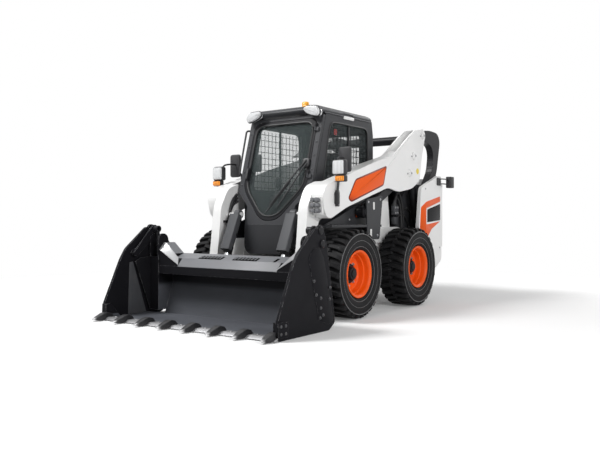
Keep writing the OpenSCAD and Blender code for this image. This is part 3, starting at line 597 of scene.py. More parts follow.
def spun(section, steps):
    """A closed section of (radius, width) points turned about the axle in even steps."""
    a = np.arange(steps) * TAU / steps
    turn = np.stack([np.cos(a), 0 * a, np.sin(a)], -1)
    return grid(section[:, None, :1] * turn + section[:, None, 1:] * [0, 1, 0], loop_u=True, loop_v=True)


def carcass():
    """Tyre body: a closed section of (radius, width) points, smoothed and turned about the axle."""
    half = flow([(0.206, 0.108), (0.226, 0.116), (0.240, 0.132), (0.252, 0.137), (0.262, 0.145), (0.290, 0.151),
                 (0.330, 0.1515), (0.360, 0.1490), (0.370, 0.1480), (0.373, 0.1530), (0.380, 0.1530),
                 (0.384, 0.1450), (0.386, 0.120), (0.387, 0.080), (0.387, 0.0)], 72)
    section = np.concatenate([half, half[-2::-1] * [1, -1]])
    return spun(np.concatenate([section, [(0.2055, -0.06), (0.2055, 0.06)]]), 144)


def tread():
    """Lugs: bars that run from past the middle out over the shoulder, slanted and slightly curved,
    each a five-point section carried along its length, at even steps round the tyre on both sides."""
    count, t = 30, np.array([0.0, 0.05, 0.25, 0.5, 0.75, 0.90, 0.96, 1.0])
    width = -0.018 + 0.166 * t
    top = np.array([0.412, 0.4190, 0.420, 0.420, 0.4190, 0.4160, 0.410, 0.392])
    foot = np.full(8, 0.381)
    turn = 0.090 * (1 - t) + 0.08 * t * (1 - t)
    half = np.array([0.048, 0.055, 0.058, 0.060, 0.062, 0.064, 0.064, 0.062])
    section = np.array([(-1.0, 0.0), (-0.80, 0.93), (-0.70, 1.0), (0.70, 1.0), (0.80, 0.93), (1.0, 0.0)])
    radius = foot[:, None] + (top - foot)[:, None] * section[:, 1]
    angle = turn[:, None] + half[:, None] * section[:, 0]
    bars = []
    for side in (1, -1):
        steps = (np.arange(count) + (0.5 if side < 0 else 0.0)) * TAU / count
        a = angle[None] + steps[:, None, None]
        y = np.broadcast_to(side * width[None, :, None], a.shape)
        rings = np.stack([radius * np.cos(a), y, radius * np.sin(a)], -1)
        bars += [capped(ring) for ring in rings]
    return join(*bars)


def hoop(radius, along, thick, centre):
    """Moulded ring on the flank: a small circle of the given thickness turned about the axle."""
    b = np.arange(8) * TAU / 8
    points, faces = spun(np.stack([radius + thick * np.cos(b), along + thick * np.sin(b)], 1), 144)
    return points + centre, faces


def rim_shell():
    """Wheel rim: a closed section of (radius, width) points, with rolled flange, stepped well and deep disc,
    turned about the axle."""
    return spun(np.array([
        (0.0790, -0.012), (0.0790, 0.006), (0.1500, 0.006), (0.1620, 0.009), (0.1720, 0.018), (0.1770, 0.034),
        (0.1790, 0.062), (0.1810, 0.067), (0.1890, 0.071), (0.1915, 0.077), (0.1930, 0.104), (0.1960, 0.116),
        (0.2030, 0.127), (0.2120, 0.134), (0.2200, 0.136), (0.2255, 0.133), (0.2265, 0.127), (0.2240, 0.121),
        (0.2100, 0.116), (0.2060, 0.108), (0.2060, -0.108), (0.2240, -0.121), (0.2240, -0.133), (0.2060, -0.134),
        (0.1980, -0.110), (0.1930, -0.030), (0.1720, -0.010)]), 120)


RIM = rim_shell()
TYRE = join(carcass(), tread())
NUT_RING = np.arange(8) * TAU / 8
for label, side in (("front_left", 1), ("front_right", -1), ("rear_left", 1), ("rear_right", -1)):
    hub = pins[f"wheel_{label}_spin"]
    turned = TYRE[0] * [1, side, 1] + hub
    piece(f"tread_{label}", f"wheel_{label}", rubber, (turned, TYRE[1]), 28.0, (f"tyre_{label}",))
    # The flank rings take the light grey ring finish: a painted highlight round each tyre.
    piece(f"tyre_rings_{label}", f"wheel_{label}", tyre_ring_highlight, join(*[
        hoop(r, side * y, w, hub) for r, y, w in ((0.3765, 0.1525, 0.0042), (0.3140, 0.1510, 0.0022),
                                                  (0.2590, 0.1420, 0.0030))]))
    piece(f"rim_shell_{label}", f"wheel_{label}", rim_paint, (RIM[0] * [1, side, 1] + hub, RIM[1]),
          30.0, (f"rim_{label}",))
    nuts = [bolt(hub + [0.116 * math.cos(a), side * 0.005, 0.116 * math.sin(a)], 0.012, 0.018, "y", side)
            for a in NUT_RING]
    piece(f"wheel_nuts_{label}", f"wheel_{label}", bolt_steel, join(*nuts))
    cap = [(0.094, 0.000), (0.094, 0.022), (0.088, 0.029), (0.068, 0.031), (0.065, 0.056), (0.058, 0.066),
           (0.042, 0.068), (0.040, 0.077), (0.020, 0.080), (0.001, 0.080)]
    piece(f"hub_cap_{label}", f"wheel_{label}", black_paint, lathe([(r, side * h) for r, h in cap], hub, "y", 40))


# Boom and cylinders

SIDES = (1, -1)
DECAL = rounded([(0.289, 1.135), (0.148, 1.330), (-0.493, 1.503), (-0.422, 1.289), (0.229, 1.099)], 0.035)
pair("arm_decal_border", "boom", decal_border, applied(DECAL, ARM_OUT, 0.001, 0.0004))
pair("arm_decal", "boom", arm_print, applied(inset(leftward(DECAL), 0.015), ARM_OUT, 0.0016, 0.0004))
pair("arm_crease", "boom", white_paint,
     tube(flow([(-0.541, ARM_OUT, 1.501), (-0.782, ARM_OUT, 1.680), (-1.023, ARM_OUT, 1.859)], 24), 0.004, 8))
pair("arm_dot", "boom", sticker_yellow,
     lathe([(0.034, 0.0), (0.034, 0.001), (0.0005, 0.0012)], (-1.218, ARM_OUT, 1.482), "y", 28))

PIN_CAP = [(0.034, 0.0), (0.034, 0.005), (0.028, 0.010), (0.001, 0.011)]
arm_pins = mm([(-470, 727, 1900), (-150, 727, 1450), (-250, 727, 1650)])
pair("arm_pin_caps", "boom", white_paint, *[lathe(PIN_CAP, c, "y", 28) for c in arm_pins])
pair("arm_pin_bolts", "boom", bolt_steel, bolts(arm_pins + [0.0, 0.010, 0.0], 0.010, 0.011),
     bolts(arm_pins + [0.052, -0.012, -0.008], 0.007, 0.009))
tower_pin = mm((1795, 615, 205))
pair("tower_pin_caps", "boom", bolt_steel,
     lathe([(0.028, 0.0), (0.028, 0.006), (0.022, 0.010), (0.001, 0.010)], tower_pin, "y", 28),
     bolt(tower_pin + [0.0, 0.009, 0.0], 0.010, 0.010))


def weld(points, radius, n=60):
    """Weld bead: a tube whose radius swells and shrinks as a sine of its length, like the ripples of a run."""
    path = flow(points, n)
    return tube(path, radius * (1 + 0.16 * np.sin(np.arange(n) * 1.9)), 7)


pair("boom_welds", "boom", white_paint, *[weld(mm(run), 0.006) for run in (
    [(1386, 586, 1010), (1386, 586, 1120), (1386, 586, 1228)],
    [(1410, 586, 952), (1500, 586, 924), (1560, 586, 985)],
    [(1594, 587, 1090), (1576, 587, 1180), (1540, 587, 1235)])])
piece("tube_welds", "boom", black_paint, join(*[
    lathe([(0.050, 0.0), (0.060, side * 0.002), (0.052, side * -0.010)], mm((-360, side * 564, 1850)), "y", 32)
    for side in SIDES]))

COUPLER = [(0.0, 0.015), (0.014, 0.015), (0.0145, 0.021), (0.028, 0.021), (0.0285, 0.017), (0.050, 0.017),
           (0.0505, 0.020), (0.058, 0.020), (0.062, 0.012)]
coupler_rows = [mm((1592 + 0.12 * (z - 1080), y, z)) for z in (1010, 1060, 1110) for y in (630, 676)]
piece("coupler_block", "boom", white_paint,
      plate(mm([(1562, 982), (1584, 978), (1603, 1140), (1581, 1146)]), 0.602, 0.704, 0.004))
piece("couplers", "boom", lit_shelf_and_coupler_grey, join(*[spindle(c, c + [1, 0, 0.08], COUPLER, 14) for c in coupler_rows]))
pair("tower_hoses", "boom", hose_rubber, *[
    hose(mm([(1420, 472 - k * 3, 1190 - 34 * k), (1500, 466, 1120 - 30 * k), (1560 - 8 * k, 463, 940),
             (1600 - 30 * k, 462, 740), (1590 - 20 * k, 460 - 14 * k, 560), (1560, 430 - 26 * k, 455)]), 0.011)
    for k in range(3)])
pair("tower_clips", "boom", black_paint, *[
    block(mm((1480, 449, z)), mm((1622, 481, z + 26)), 0.004) for z in (700, 900)])


def cylinder_trim(name, foot, eye, y, barrel, s0, s1, gland):
    """Gland ring at the rod's end, weld collar at the foot and clips on the barrel, with a steel line clipped along
    the lift barrel.
    """
    start, end = mm((foot[0], y, foot[1])), mm((eye[0], y, eye[1]))
    along = unit(end - start)
    out = np.cross(along, [0.0, 1.0, 0.0])
    ring = spindle(start, end, [(s1 - 0.055, barrel), (s1 - 0.0545, gland), (s1 + 0.004, gland),
                                (s1 + 0.014, gland * 0.86), (s1 + 0.0145, gland * 0.62)], 28)
    collar = spindle(start, end, [(s0, barrel * 0.8), (s0 + 0.004, barrel * 1.1), (s0 + 0.026, barrel * 1.1),
                                  (s0 + 0.034, barrel * 0.98)], 28)
    lift = barrel + 0.014
    line = [start + along * s + out * h for s, h in
            ((s0 + 0.05, barrel * 0.7), (s0 + 0.055, lift), (s0 + 0.12, lift), (s1 - 0.14, lift),
             (s1 - 0.075, lift), (s1 - 0.07, barrel * 0.7))]
    clips = [spindle(start, end, [(s, barrel), (s + 0.0005, barrel * 1.06),
                                  (s + 0.018, barrel * 1.06), (s + 0.0185, barrel)])
             for s in (s0 + 0.16, s1 - 0.19)]
    pair(f"{name}_glands", name, black_paint, ring, collar, *clips)
    if name == "lift_barrel":
        pair(f"{name}_lines", name, black_paint, tube(flow(line, 60), 0.008, 8))


cylinder_trim("lift_barrel", (-600, 480), (-250, 1650), 640, 0.048, 0.062, 1.031, 0.0435 + 0.009)
cylinder_trim("tilt_barrel", (1535, 985), (1835, 315), 350, 0.043, 0.045, 0.404, 0.047)


def tilt_guard():
    """Folded cover in front of the tilt cylinder: a channel section carried along the barrel."""
    start, end = mm((1535, 350, 985)), mm((1835, 350, 315))
    along = unit(end - start)
    out = np.cross(along, [0.0, 1.0, 0.0])
    section = rounded([(-0.056, 0.010), (-0.056, 0.062), (0.056, 0.062), (0.056, 0.010), (0.052, 0.010),
                       (0.052, 0.057), (-0.052, 0.057), (-0.052, 0.010)], 0.006, 4)
    s = np.array([0.020, 0.022, 0.395, 0.397])
    across, proud = section[None, :, :1], section[None, :, 1:]
    return capped(start + s[:, None, None] * along + across * [0.0, 1.0, 0.0] + proud * out)


pair("tilt_guards", "tilt_barrel", grey_paint, tilt_guard())


# Lamps and mirrors on the arms

def headlamp(side):
    """Lamp head, amber strip, post and mirror of one arm, as rounded shells on a bent tube."""
    def at(x, y, z):
        return mm((x, side * y, z))

    def shell(x0, x1, y0, y1, z0, z1, edge, radius):
        low, high = sorted((side * y0 / 1000, side * y1 / 1000))
        return plate(rect(low, z0 / 1000, high, z1 / 1000, radius), *ahead(x0, x1), edge, "yz")

    label = "left" if side > 0 else "right"
    stem = flow([at(1390, 741, 1062), at(1390, 741, 1160), at(1390, 748, 1260), at(1382, 755, 1330)], 24)
    arm = flow([at(1352, 726, 1492), at(1330, 712, 1512), at(1260, 690, 1524), at(1190, 684, 1524)], 24)
    piece(f"lamp_post_{label}", "boom", trim_plastic, join(
        tube(stem, 0.0125, 14), tube(arm, 0.009, 12),
        shell(1336, 1404, 690, 828, 1346, 1494, 0.022, 0.022),
        shell(1340, 1400, 720, 826, 1286, 1348, 0.012, 0.012),
        shell(1330, 1392, 716, 729, 1056, 1206, 0.004, 0.010),
        shell(1374, 1408, 716, 760, 1076, 1190, 0.006, 0.010),
        shell(1166, 1196, 626, 766, 1388, 1634, 0.013, 0.030)), replaces=("lamp_posts",))
    piece(f"lamp_lens_{label}", "boom", clear_lens, shell(1396, 1416, 699, 819, 1356, 1485, 0.012, 0.018),
          replaces=("headlamps",))
    piece(f"turn_lens_{label}", "boom", amber_lens, shell(1392, 1412, 724, 820, 1291, 1339, 0.010, 0.010))
    piece(f"mirror_glass_{label}", "boom", mirror_glass, shell(1163.5, 1167, 635, 757, 1397, 1625, 0.0015, 0.024))
    piece(f"lamp_bolts_{label}", "boom", bolt_steel, join(*[
        bolt(at(1346, 729, z), 0.007, 0.008, "y", side) for z in (1074, 1188)]))


for side in SIDES:
    headlamp(side)


# Chassis

STRIPE = rounded([(-1.182, 1.072), (-1.323, 1.137), (-1.697, 1.209), (-1.697, 1.145), (-1.323, 1.062),
                  (-1.322, 0.875), (-1.696, 0.912), (-1.467, 0.824), (-1.322, 0.701), (-1.154, 0.827)], 0.016)
PANEL = rounded([(-1.345, 1.048), (-1.697, 1.119), (-1.697, 0.925), (-1.345, 0.900)], 0.014)
pair("cover_stripe", "chassis", decal_orange, applied(STRIPE, COVER_OUT, 0.0010, 0.0004))
pair("cover_panel", "chassis", black_paint, applied(PANEL, COVER_OUT, 0.0016, 0.0005))
pair("cover_bolts", "chassis", bolt_steel, bolts(
    [(x, COVER_OUT, z) for x, z in ((-1.30, 1.285), (-1.66, 1.372), (-1.68, 0.60), (-1.47, 0.43))], 0.007, 0.008))

pair("reflector_strips", "chassis", reflector_white, *[
    plate(rect(*corners, 0.006), 0.7015, 0.7050, 0.0012)
    for corners in ((-0.252, 1.034, -0.221, 1.112), (-0.194, 0.757, -0.160, 0.835))])
# Reflector tips in the glowing red lens finish: a painted glow.
pair("reflector_tips", "chassis", red_lens,
     plate(rect(-0.196, 0.731, -0.158, 0.757, 0.004), 0.7015, 0.7056, 0.0012))
pair("panel_handle", "chassis", reflector_white,
     plate(rect(-0.270, 0.958, -0.160, 0.976, 0.006), 0.571, 0.586, 0.004))
pair("panel_handle_tip", "chassis", decal_orange,
     plate(rect(-0.160, 0.954, -0.095, 0.980, 0.006), 0.571, 0.588, 0.004))
pair("panel_bolts", "chassis", bolt_steel, bolts(mm([
    (560, 702, 770), (740, 702, 770), (745, 702, 1110), (500, 702, 1140), (470, 572, 1110), (900, 572, 930),
    (1180, 572, 800), (1330, 572, 760)]), 0.008, 0.008))
studs = mm([(x, y, 880) for x in range(600, 1400, 52) for y in (592, 630, 668)])
pair("fender_studs", "chassis", charcoal_paint, *[
    lathe([(0.012, -0.001), (0.012, 0.002), (0.008, 0.004), (0.001, 0.004)], c, "z", 10) for c in studs])

FRAME_OUT = 0.545
hose_runs = [
    ([(-0.955, 1.078), (-0.985, 1.19), (-1.06, 1.225), (-1.13, 1.10), (-1.16, 0.93), (-1.15, 0.80)], 0.013),
    ([(-0.920, 1.076), (-0.955, 1.15), (-1.03, 1.165), (-1.09, 1.05), (-1.11, 0.86), (-1.10, 0.79)], 0.013),
    ([(-0.930, 0.900), (-1.000, 0.945), (-1.09, 0.985), (-1.20, 0.96), (-1.31, 0.85), (-1.34, 0.79)], 0.011),
    ([(-0.910, 1.010), (-0.990, 1.06), (-1.11, 1.01), (-1.24, 1.06), (-1.34, 1.00), (-1.39, 0.90)], 0.010)]
pair("chassis_hoses", "chassis", hose_rubber, *[
    hose([(x, FRAME_OUT + (0.016 + 0.004 * math.sin(3 * k) if k < len(run) - 1 else -0.008), z)
          for k, (x, z) in enumerate(run)], radius) for run, radius in hose_runs])
pair("valve_block", "chassis", grey_paint,
     block((-1.000, FRAME_OUT - 0.001, 0.985), (-0.905, 0.590, 1.085), 0.006),
     block((-0.985, FRAME_OUT - 0.001, 0.880), (-0.910, 0.585, 0.960), 0.006))
pair("valve_bolts", "chassis", bolt_steel,
     bolts([(x, 0.589, z) for x in (-0.980, -0.925) for z in (1.005, 1.065)], 0.008, 0.008))


# Cab

WINDOW_Y, NET_PITCH, NET_WIRE = 0.4430, 0.064, 0.0032


def level(u):
    """An upright edge of a net: the same place u at every height."""
    return lambda z: u + 0 * z


def window_front(z):
    """The side window's front edge, which leans back evenly with height."""
    return 1.212 + REAR_AXLE_X - (z - 1.240) * 0.216


side_net = netting((0.320 + REAR_AXLE_X, 1.205 + REAR_AXLE_X), (1.240, 1.912), level(0.320 + REAR_AXLE_X),
                   window_front, NET_PITCH, NET_WIRE)
rear_net = netting((-0.300, 0.300), (1.460, 1.897), level(-0.300), level(0.300), NET_PITCH, NET_WIRE)
rear_points = rear_net[0][:, [1, 0, 2]] + [0.2305 + REAR_AXLE_X, 0, 0]
pair("window_nets", "chassis", black_paint, (side_net[0] + [0, WINDOW_Y, 0], side_net[1]),
     replaces=("window_guards",))
piece("rear_net", "chassis", black_paint, (rear_points, rear_net[1]))
piece("window_bars", "chassis", black_paint, join(
    mirrored(block(mm((700, 436, 1236)), mm((726, 452, 1914)), 0.004)),
    block(mm((224, -13, 1456)), mm((240, 13, 1900)), 0.004)))
SIDE_WINDOW = rounded(mm([(320, 1240), (1220, 1240), (1075, 1910), (340, 1910)]), 0.095, 9)
pair("window_seals", "chassis", hose_rubber, tube(closed(SIDE_WINDOW, 1, CAB_Y - 0.001), 0.009, 8))

GLASS = rounded([(-0.360, 0.942), (-0.360, 0.273), (-0.090, -0.036), (0.090, -0.036), (0.360, 0.273),
                 (0.360, 0.942)], 0.115, 9)
piece("door_seal", "door", hose_rubber, tube(on_door(closed(GLASS, 0, 0.001)), 0.009, 8))
rods = [[(0.016, 0.352, 0.520), (0.034, 0.346, 0.500), (0.036, 0.180, 0.283), (0.034, 0.016, 0.068)],
        [(0.016, 0.368, 0.486), (0.034, 0.362, 0.470), (0.036, 0.240, 0.258), (0.034, 0.114, 0.050)]]
piece("wiper", "door", trim_plastic, join(
    *[tube(flow(on_door(rod), 30), 0.0075, 8) for rod in rods],
    tube(flow(on_door([(0.024, 0.210, 0.315), (0.022, 0.120, 0.190), (0.022, 0.020, 0.062),
                       (0.024, -0.030, -0.004)]), 30), 0.010, 6),
    lean(plate(rect(0.315, 0.455, 0.392, 0.545, 0.02), 0.0, 0.026, 0.006, "yz"))), replaces=("door_wiper",))
pair("pillar_bolts", "chassis", grey_paint,
     lean(bolts([(0.0, 0.425, v) for v in (0.30, 0.44, 0.58, 0.72, 0.86)], 0.007, 0.008, "x")))
piece("door_handle", "door", trim_plastic,
      lean(plate(rect(-0.366, 0.352, -0.344, 0.462, 0.010), 0.026, 0.044, 0.006, "yz")))

corner = rounded([(0.262, 2.032), (0.296, 1.986), (0.385, 1.950), (0.448, 1.946), (0.464, 1.995), (0.430, 2.045),
                  (0.306, 2.054)], 0.036, 7)
roof_x = ahead(1210)[0]
pair("roof_lenses", "chassis", clear_lens, plate(corner, roof_x, roof_x + 0.082, 0.018, "yz"),
     replaces=("roof_lamps",))
pair("roof_bezels", "chassis", trim_plastic, tube(closed(corner, 0, roof_x + 0.050), 0.009, 8))
pair("side_lamps", "chassis", reflector_white,
     plate(rect(*mm((632, 1962)), *mm((828, 1996)), 0.012), CAB_Y - 0.012, CAB_Y + 0.011, 0.005))
rib = 1 + 0.05 * (np.arange(13) % 2)
dome = np.stack([0.036 * rib, np.linspace(0.016, 0.062, 13)], 1)
beacon_foot = mm((1040, 130, 2070))
piece("beacon_dome", "chassis", beacon_lens,
      lathe(np.vstack([dome, [(0.030, 0.070), (0.001, 0.073)]]), beacon_foot, "z", 36), replaces=("beacon",))
piece("beacon_base", "chassis", trim_plastic,
      lathe([(0.046, 0.0), (0.046, 0.012), (0.040, 0.017), (0.001, 0.017)], beacon_foot, "z", 36))
rail = flow(mm([(1125, -452, 1872), (1128, -495, 1873), (1160, -500, 1874), (1222, -500, 1862), (1246, -500, 1800),
                (1333, -500, 1448), (1320, -500, 1400), (1280, -500, 1272), (1275, -496, 1262),
                (1272, -452, 1260)]), 120)
piece("bent_rail", "chassis", trim_plastic, tube(rail, 0.010, 12), replaces=("grab_rail",))
gutter = flow(mm([(255, 456, 1990), (600, 457, 1990), (900, 457, 1990), (1180, 456, 1990)]), 40)
pair("roof_gutter", "chassis", charcoal_paint, tube(gutter, 0.006, 6))


# Seat and controls

def evaluated(made):
    """A mesh with the object's modifiers applied."""
    return bpy.data.meshes.new_from_object(made.evaluated_get(bpy.context.evaluated_depsgraph_get()))


def stuffed(name, patch, cap):
    """A sewn pad: the closed form remeshed evenly and swollen by twenty steps of cloth under pressure,
    with no point moved past the cap."""
    made = piece(name, "chassis", cloth, patch, 60.0)
    even = made.modifiers.new("even", "REMESH")
    even.mode, even.voxel_size, even.use_smooth_shade = "VOXEL", 0.006, True
    made.data = evaluated(made)
    made.modifiers.clear()
    start = np.array([v.co for v in made.data.vertices])
    cover = made.modifiers.new("cover", "CLOTH").settings
    cover.use_pressure, cover.uniform_pressure_force = True, 4.0
    cover.effector_weights.gravity = 0.0
    for step in range(1, 21):
        bpy.context.scene.frame_set(step)
    swollen = evaluated(made)
    made.modifiers.clear()
    bpy.context.scene.frame_set(1)
    move = np.array([v.co for v in swollen.vertices]) - start
    reach = np.maximum(np.linalg.norm(move, axis=1, keepdims=True), 1e-9)
    place = start + move * np.minimum(1.0, cap / reach)
    made.data.vertices.foreach_set("co", place.ravel())
    made.data.update()
    smooth = made.modifiers.new("smooth", "SUBSURF")
    smooth.levels = smooth.render_levels = 1
    return made


seat = stuffed("seat_pad", pillow(mm((440, -215, 1036)), mm((915, 215, 1122)), 0.42), 0.022)
back = stuffed("seat_back", pillow(mm((412, -205, 1165)), mm((486, 205, 1685)), 0.42), 0.022)
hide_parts("seat_cushions")
pair("grips", "chassis", trim_plastic,
     pillow(mm((872, 309, 1272)), mm((930, 361, 1395)), 0.7, 20),
     pillow(mm((545, 285, 1176)), mm((835, 388, 1222)), 0.4, 20),
     lathe([(0.052, 0.0), (0.046, 0.012), (0.050, 0.020), (0.038, 0.032), (0.042, 0.040), (0.024, 0.058),
            (0.018, 0.062)], mm((900, 335, 1180)), "z", 28))
belt = rounded(mm([(486, 1160), (508, 1152), (700, 1150), (706, 1158), (512, 1164), (498, 1640), (488, 1640)]),
               0.004)
piece("seat_belt", "chassis", trim_plastic, plate(belt, 0.165, 0.207, 0.002))
piece("display", "chassis", trim_plastic,
      plate(rect(-0.405, 1.430, -0.290, 1.610, 0.014), *ahead(1230, 1262), 0.006, "yz"))
# The red tag takes the glowing red lens finish: a painted glow.
piece("red_tag", "chassis", red_lens, block((0.000, 0.392, 1.790), (0.045, 0.412, 1.860), 0.006))


# Rear

slats = [plate(rounded(mm([(-1058, z + 2), (-1054, z), (-1036, z + 26), (-1040, z + 28)]), 0.001),
               -0.418, 0.418, 0.0008) for z in range(860, 1240, 60)]
piece("gate_slats", "tailgate", black_paint, join(*slats))
piece("gate_latch", "tailgate", trim_plastic, join(
    plate(rect(-0.560, 0.930, -0.500, 1.060, 0.012), *ahead(-1072, -1058), 0.005, "yz"),
    plate(rect(-0.548, 0.950, -0.512, 1.040, 0.010), *ahead(-1082, -1068), 0.004, "yz")))
piece("gate_rim", "tailgate", charcoal_paint, join(*[
    plate(rect(-0.585, z, 0.585, z + 0.012, 0.004), *ahead(-1066, -1058), 0.003, "yz")
    for z in (0.640, 0.820, 1.285)]))
# Tailgate reflectors in the glowing red lens finish: a painted glow.
piece("gate_reflectors", "tailgate", red_lens, join(*[
    lathe([(0.032, 0.0), (0.032, -0.006), (0.026, -0.009), (0.001, -0.009)], mm((-1060, side * 470, 740)), "x", 28)
    for side in SIDES]))


FAN_X, FAN_Z = -1.658, 0.780
GATE_IN, RIB_IN = -1.883, -1.864


def fan_blade(angle):
    """One fan blade: a thin four-cornered section twisted flatter towards its tip, carried out along a radius."""
    r = np.linspace(0.045, 0.208, 8)
    twist = np.linspace(0.95, 0.45, 8)[:, None]
    chord, thick = np.array([-0.046, 0.046, 0.046, -0.046]), np.array([-0.002, -0.002, 0.002, 0.002])
    across = chord * np.cos(twist) - thick * np.sin(twist)
    x = chord * np.sin(twist) + thick * np.cos(twist)
    y = r[:, None] * math.cos(angle) - across * math.sin(angle)
    z = r[:, None] * math.sin(angle) + across * math.cos(angle)
    return capped(np.stack([x * 0.55 + FAN_X, y, z + FAN_Z], -1))


piece("cooling_fan", "chassis", trim_plastic, join(
    *[fan_blade(k * TAU / 7) for k in range(7)],
    lathe([(0.060, 0.010), (0.060, -0.040), (0.050, -0.052), (0.001, -0.056)], (-1.632, 0.0, FAN_Z), "x", 32)))
piece("fan_shroud", "chassis", charcoal_paint, lathe(
    [(0.246, 0.010), (0.246, -0.064), (0.240, -0.070), (0.226, -0.070), (0.222, -0.062), (0.222, -0.002),
     (0.001, -0.002)], (-1.621, 0.0, FAN_Z), "x", 64))
piece("rocker_cover", "chassis", black_paint, join(
    block((-1.540, -0.150, 1.046), (-0.930, 0.150, 1.098), 0.018),
    *[block((x, -0.154, 1.046), (x + 0.016, 0.154, 1.103), 0.006) for x in np.linspace(-1.500, -0.990, 7)]))
piece("oil_filter", "chassis", decal_orange, lathe(
    [(0.001, 0.0), (0.040, 0.002), (0.046, 0.012), (0.046, 0.120), (0.042, 0.128), (0.034, 0.130), (0.034, 0.170),
     (0.001, 0.170)], (-1.680, 0.300, 0.560), "z", 32))
piece("filter_bracket", "chassis", grey_paint, block((-1.724, 0.240, 0.722), (-1.600, 0.345, 0.750), 0.005))
piece("engine_hoses", "chassis", hose_rubber, join(
    hose([(-1.560, -0.200, 1.030), (-1.620, -0.225, 1.105), (-1.700, -0.300, 1.090), (-1.690, -0.340, 0.960),
          (-1.600, -0.320, 0.880), (-1.540, -0.270, 0.860)], 0.022),
    hose([(-1.560, 0.200, 1.030), (-1.610, 0.235, 1.100), (-1.640, 0.320, 1.080), (-1.600, 0.350, 0.960),
          (-1.520, 0.270, 0.900)], 0.018)))
piece("gate_ribs", "tailgate", charcoal_paint, join(
    *[plate(rounded([(GATE_IN, y - 0.040), (RIB_IN, y - 0.022), (RIB_IN, y + 0.022), (GATE_IN, y + 0.040)], 0.004),
            0.680, 1.270, 0.003, "xy") for y in (-0.380, 0.0, 0.380)],
    block((GATE_IN, -0.540, 0.640), (-1.868, 0.540, 0.672), 0.004)))


def rear_lamp(side):
    """Tail lamp block on two bent rods: a dark shell with a red and a clear lens on its rear face."""
    low, high = sorted((side * 0.789, side * 0.859))
    label = "left" if side > 0 else "right"

    def wall(x0, x1, z0, z1, edge, shrink=0.0):
        return plate(rect(low + shrink, z0, high - shrink, z1, 0.010), *ahead(x0, x1), edge, "yz")

    rods = [tube(flow([(-1.640, side * 0.776, z), (-1.720, side * 0.790, z + 0.006),
                       (-1.830, side * 0.815, z + 0.004)], 16), 0.007, 8)
            for z in (1.352, 1.410)]
    piece(f"rear_lamp_{label}", "chassis", trim_plastic, join(
        wall(-1050, -955, 1.312, 1.448, 0.010), *rods,
        plate(rect(-1.700, 1.335, -1.600, 1.428, 0.012), *sorted((side * 0.775, side * 0.783)), 0.003)),
        replaces=("rear_lamps",))
    piece(f"rear_red_{label}", "chassis", red_lens, wall(-1058, -1046, 1.384, 1.440, 0.005, 0.006))
    piece(f"rear_clear_{label}", "chassis", clear_lens, wall(-1058, -1046, 1.320, 1.378, 0.005, 0.006))


for side in SIDES:
    rear_lamp(side)
piece("hood_grille", "chassis", black_paint, join(
    plate(rect(*mm((-900, -330)), *mm((-420, 330)), 0.03), 1.4195, 1.4225, 0.001, "xy"),
    *[block(mm((x, -310, 1421)), mm((x + 12, 310, 1434)), 0.003) for x in range(-880, -430, 30)]))
stack = mm((-760, 420, 1418))
piece("exhaust", "chassis", bolt_steel, lathe(
    [(0.060, 0.0), (0.060, 0.008), (0.044, 0.012), (0.044, 0.110), (0.047, 0.114), (0.047, 0.122), (0.040, 0.124),
     (0.038, 0.020), (0.001, 0.018)], stack, "z", 32))


# Bucket

def sloped(s0, s1, rise, y0, y1):
    """A thin plate on the bucket's sloping shelf, from s0 to s1 down the slope and up to a rise above it."""
    down, up = unit(np.array([125.0, -44.0])), unit(np.array([44.0, 125.0]))
    foot = np.array([1950.0, 600.0])
    corners = [foot + down * s + up * h for s, h in ((s0, -1.5), (s1, -1.5), (s1, rise), (s0, rise))]
    return plate(mm(corners), y0, y1, 0.0004)


# Thin grey skins laid on the black shelf and apron tops: painted light, the lit upward faces of black steel.
piece("shelf_skin", "carrier", lit_shelf_and_coupler_grey, join(
    sloped(0.0, 132.0, 1.2, -0.704, 0.704),
    mirrored(plate([(0.706, 0.598), (0.704, 0.6015), (0.829, 0.7065), (0.854, 0.7065), (0.854, 0.703),
                    (0.831, 0.703)], *ahead(1951, 2075), 0.0005, "yz"))))
piece("shelf_apron", "carrier", bucket_paint, plate(
    mm([(2072, 557), (2138, 481), (2138, 404), (2124, 404), (2124, 468), (2072, 500)]), -0.853, 0.853, 0.001))
piece("apron_skin", "carrier", lit_shelf_and_coupler_grey, plate(
    mm([(2070, 559), (2074, 558.5), (2139.5, 483), (2139, 478), (2136, 481)]), -0.600, 0.600, 0.0005))


def corner_fill(front, rear, front_x, rear_x):
    """Corner between shelf and end plate: an outline of (across, up) at the front drawn straight to one behind it."""
    return capped(np.stack([np.insert(np.asarray(outline, float), 0, x, axis=1)
                            for outline, x in ((front, front_x), (rear, rear_x))]))


pair("corner_fills", "carrier", bucket_paint, corner_fill(
    [(0.590, 0.470), (0.600, 0.494), (0.830, 0.620), (0.878, 0.6465), (0.878, 0.470)],
    [(0.650, 0.540), (0.660, 0.556), (0.829, 0.7035), (0.878, 0.7035), (0.878, 0.540)], 1.262, 1.200))
# Grey skins over the black corner ramps: painted highlight on their sloping faces.
pair("ramp_skins", "carrier", lit_ramp_grey, corner_fill(
    [(0.598, 0.4950), (0.597, 0.4985), (0.830, 0.6260), (0.878, 0.6525), (0.878, 0.648), (0.832, 0.6225)],
    [(0.653, 0.556), (0.655, 0.5605), (0.829, 0.7085), (0.878, 0.7085), (0.878, 0.704), (0.831, 0.704)],
    1.2635, 1.200))
slots = [(-0.399, -0.105), (0.027, 0.314)]  # (from, to) across the shelf
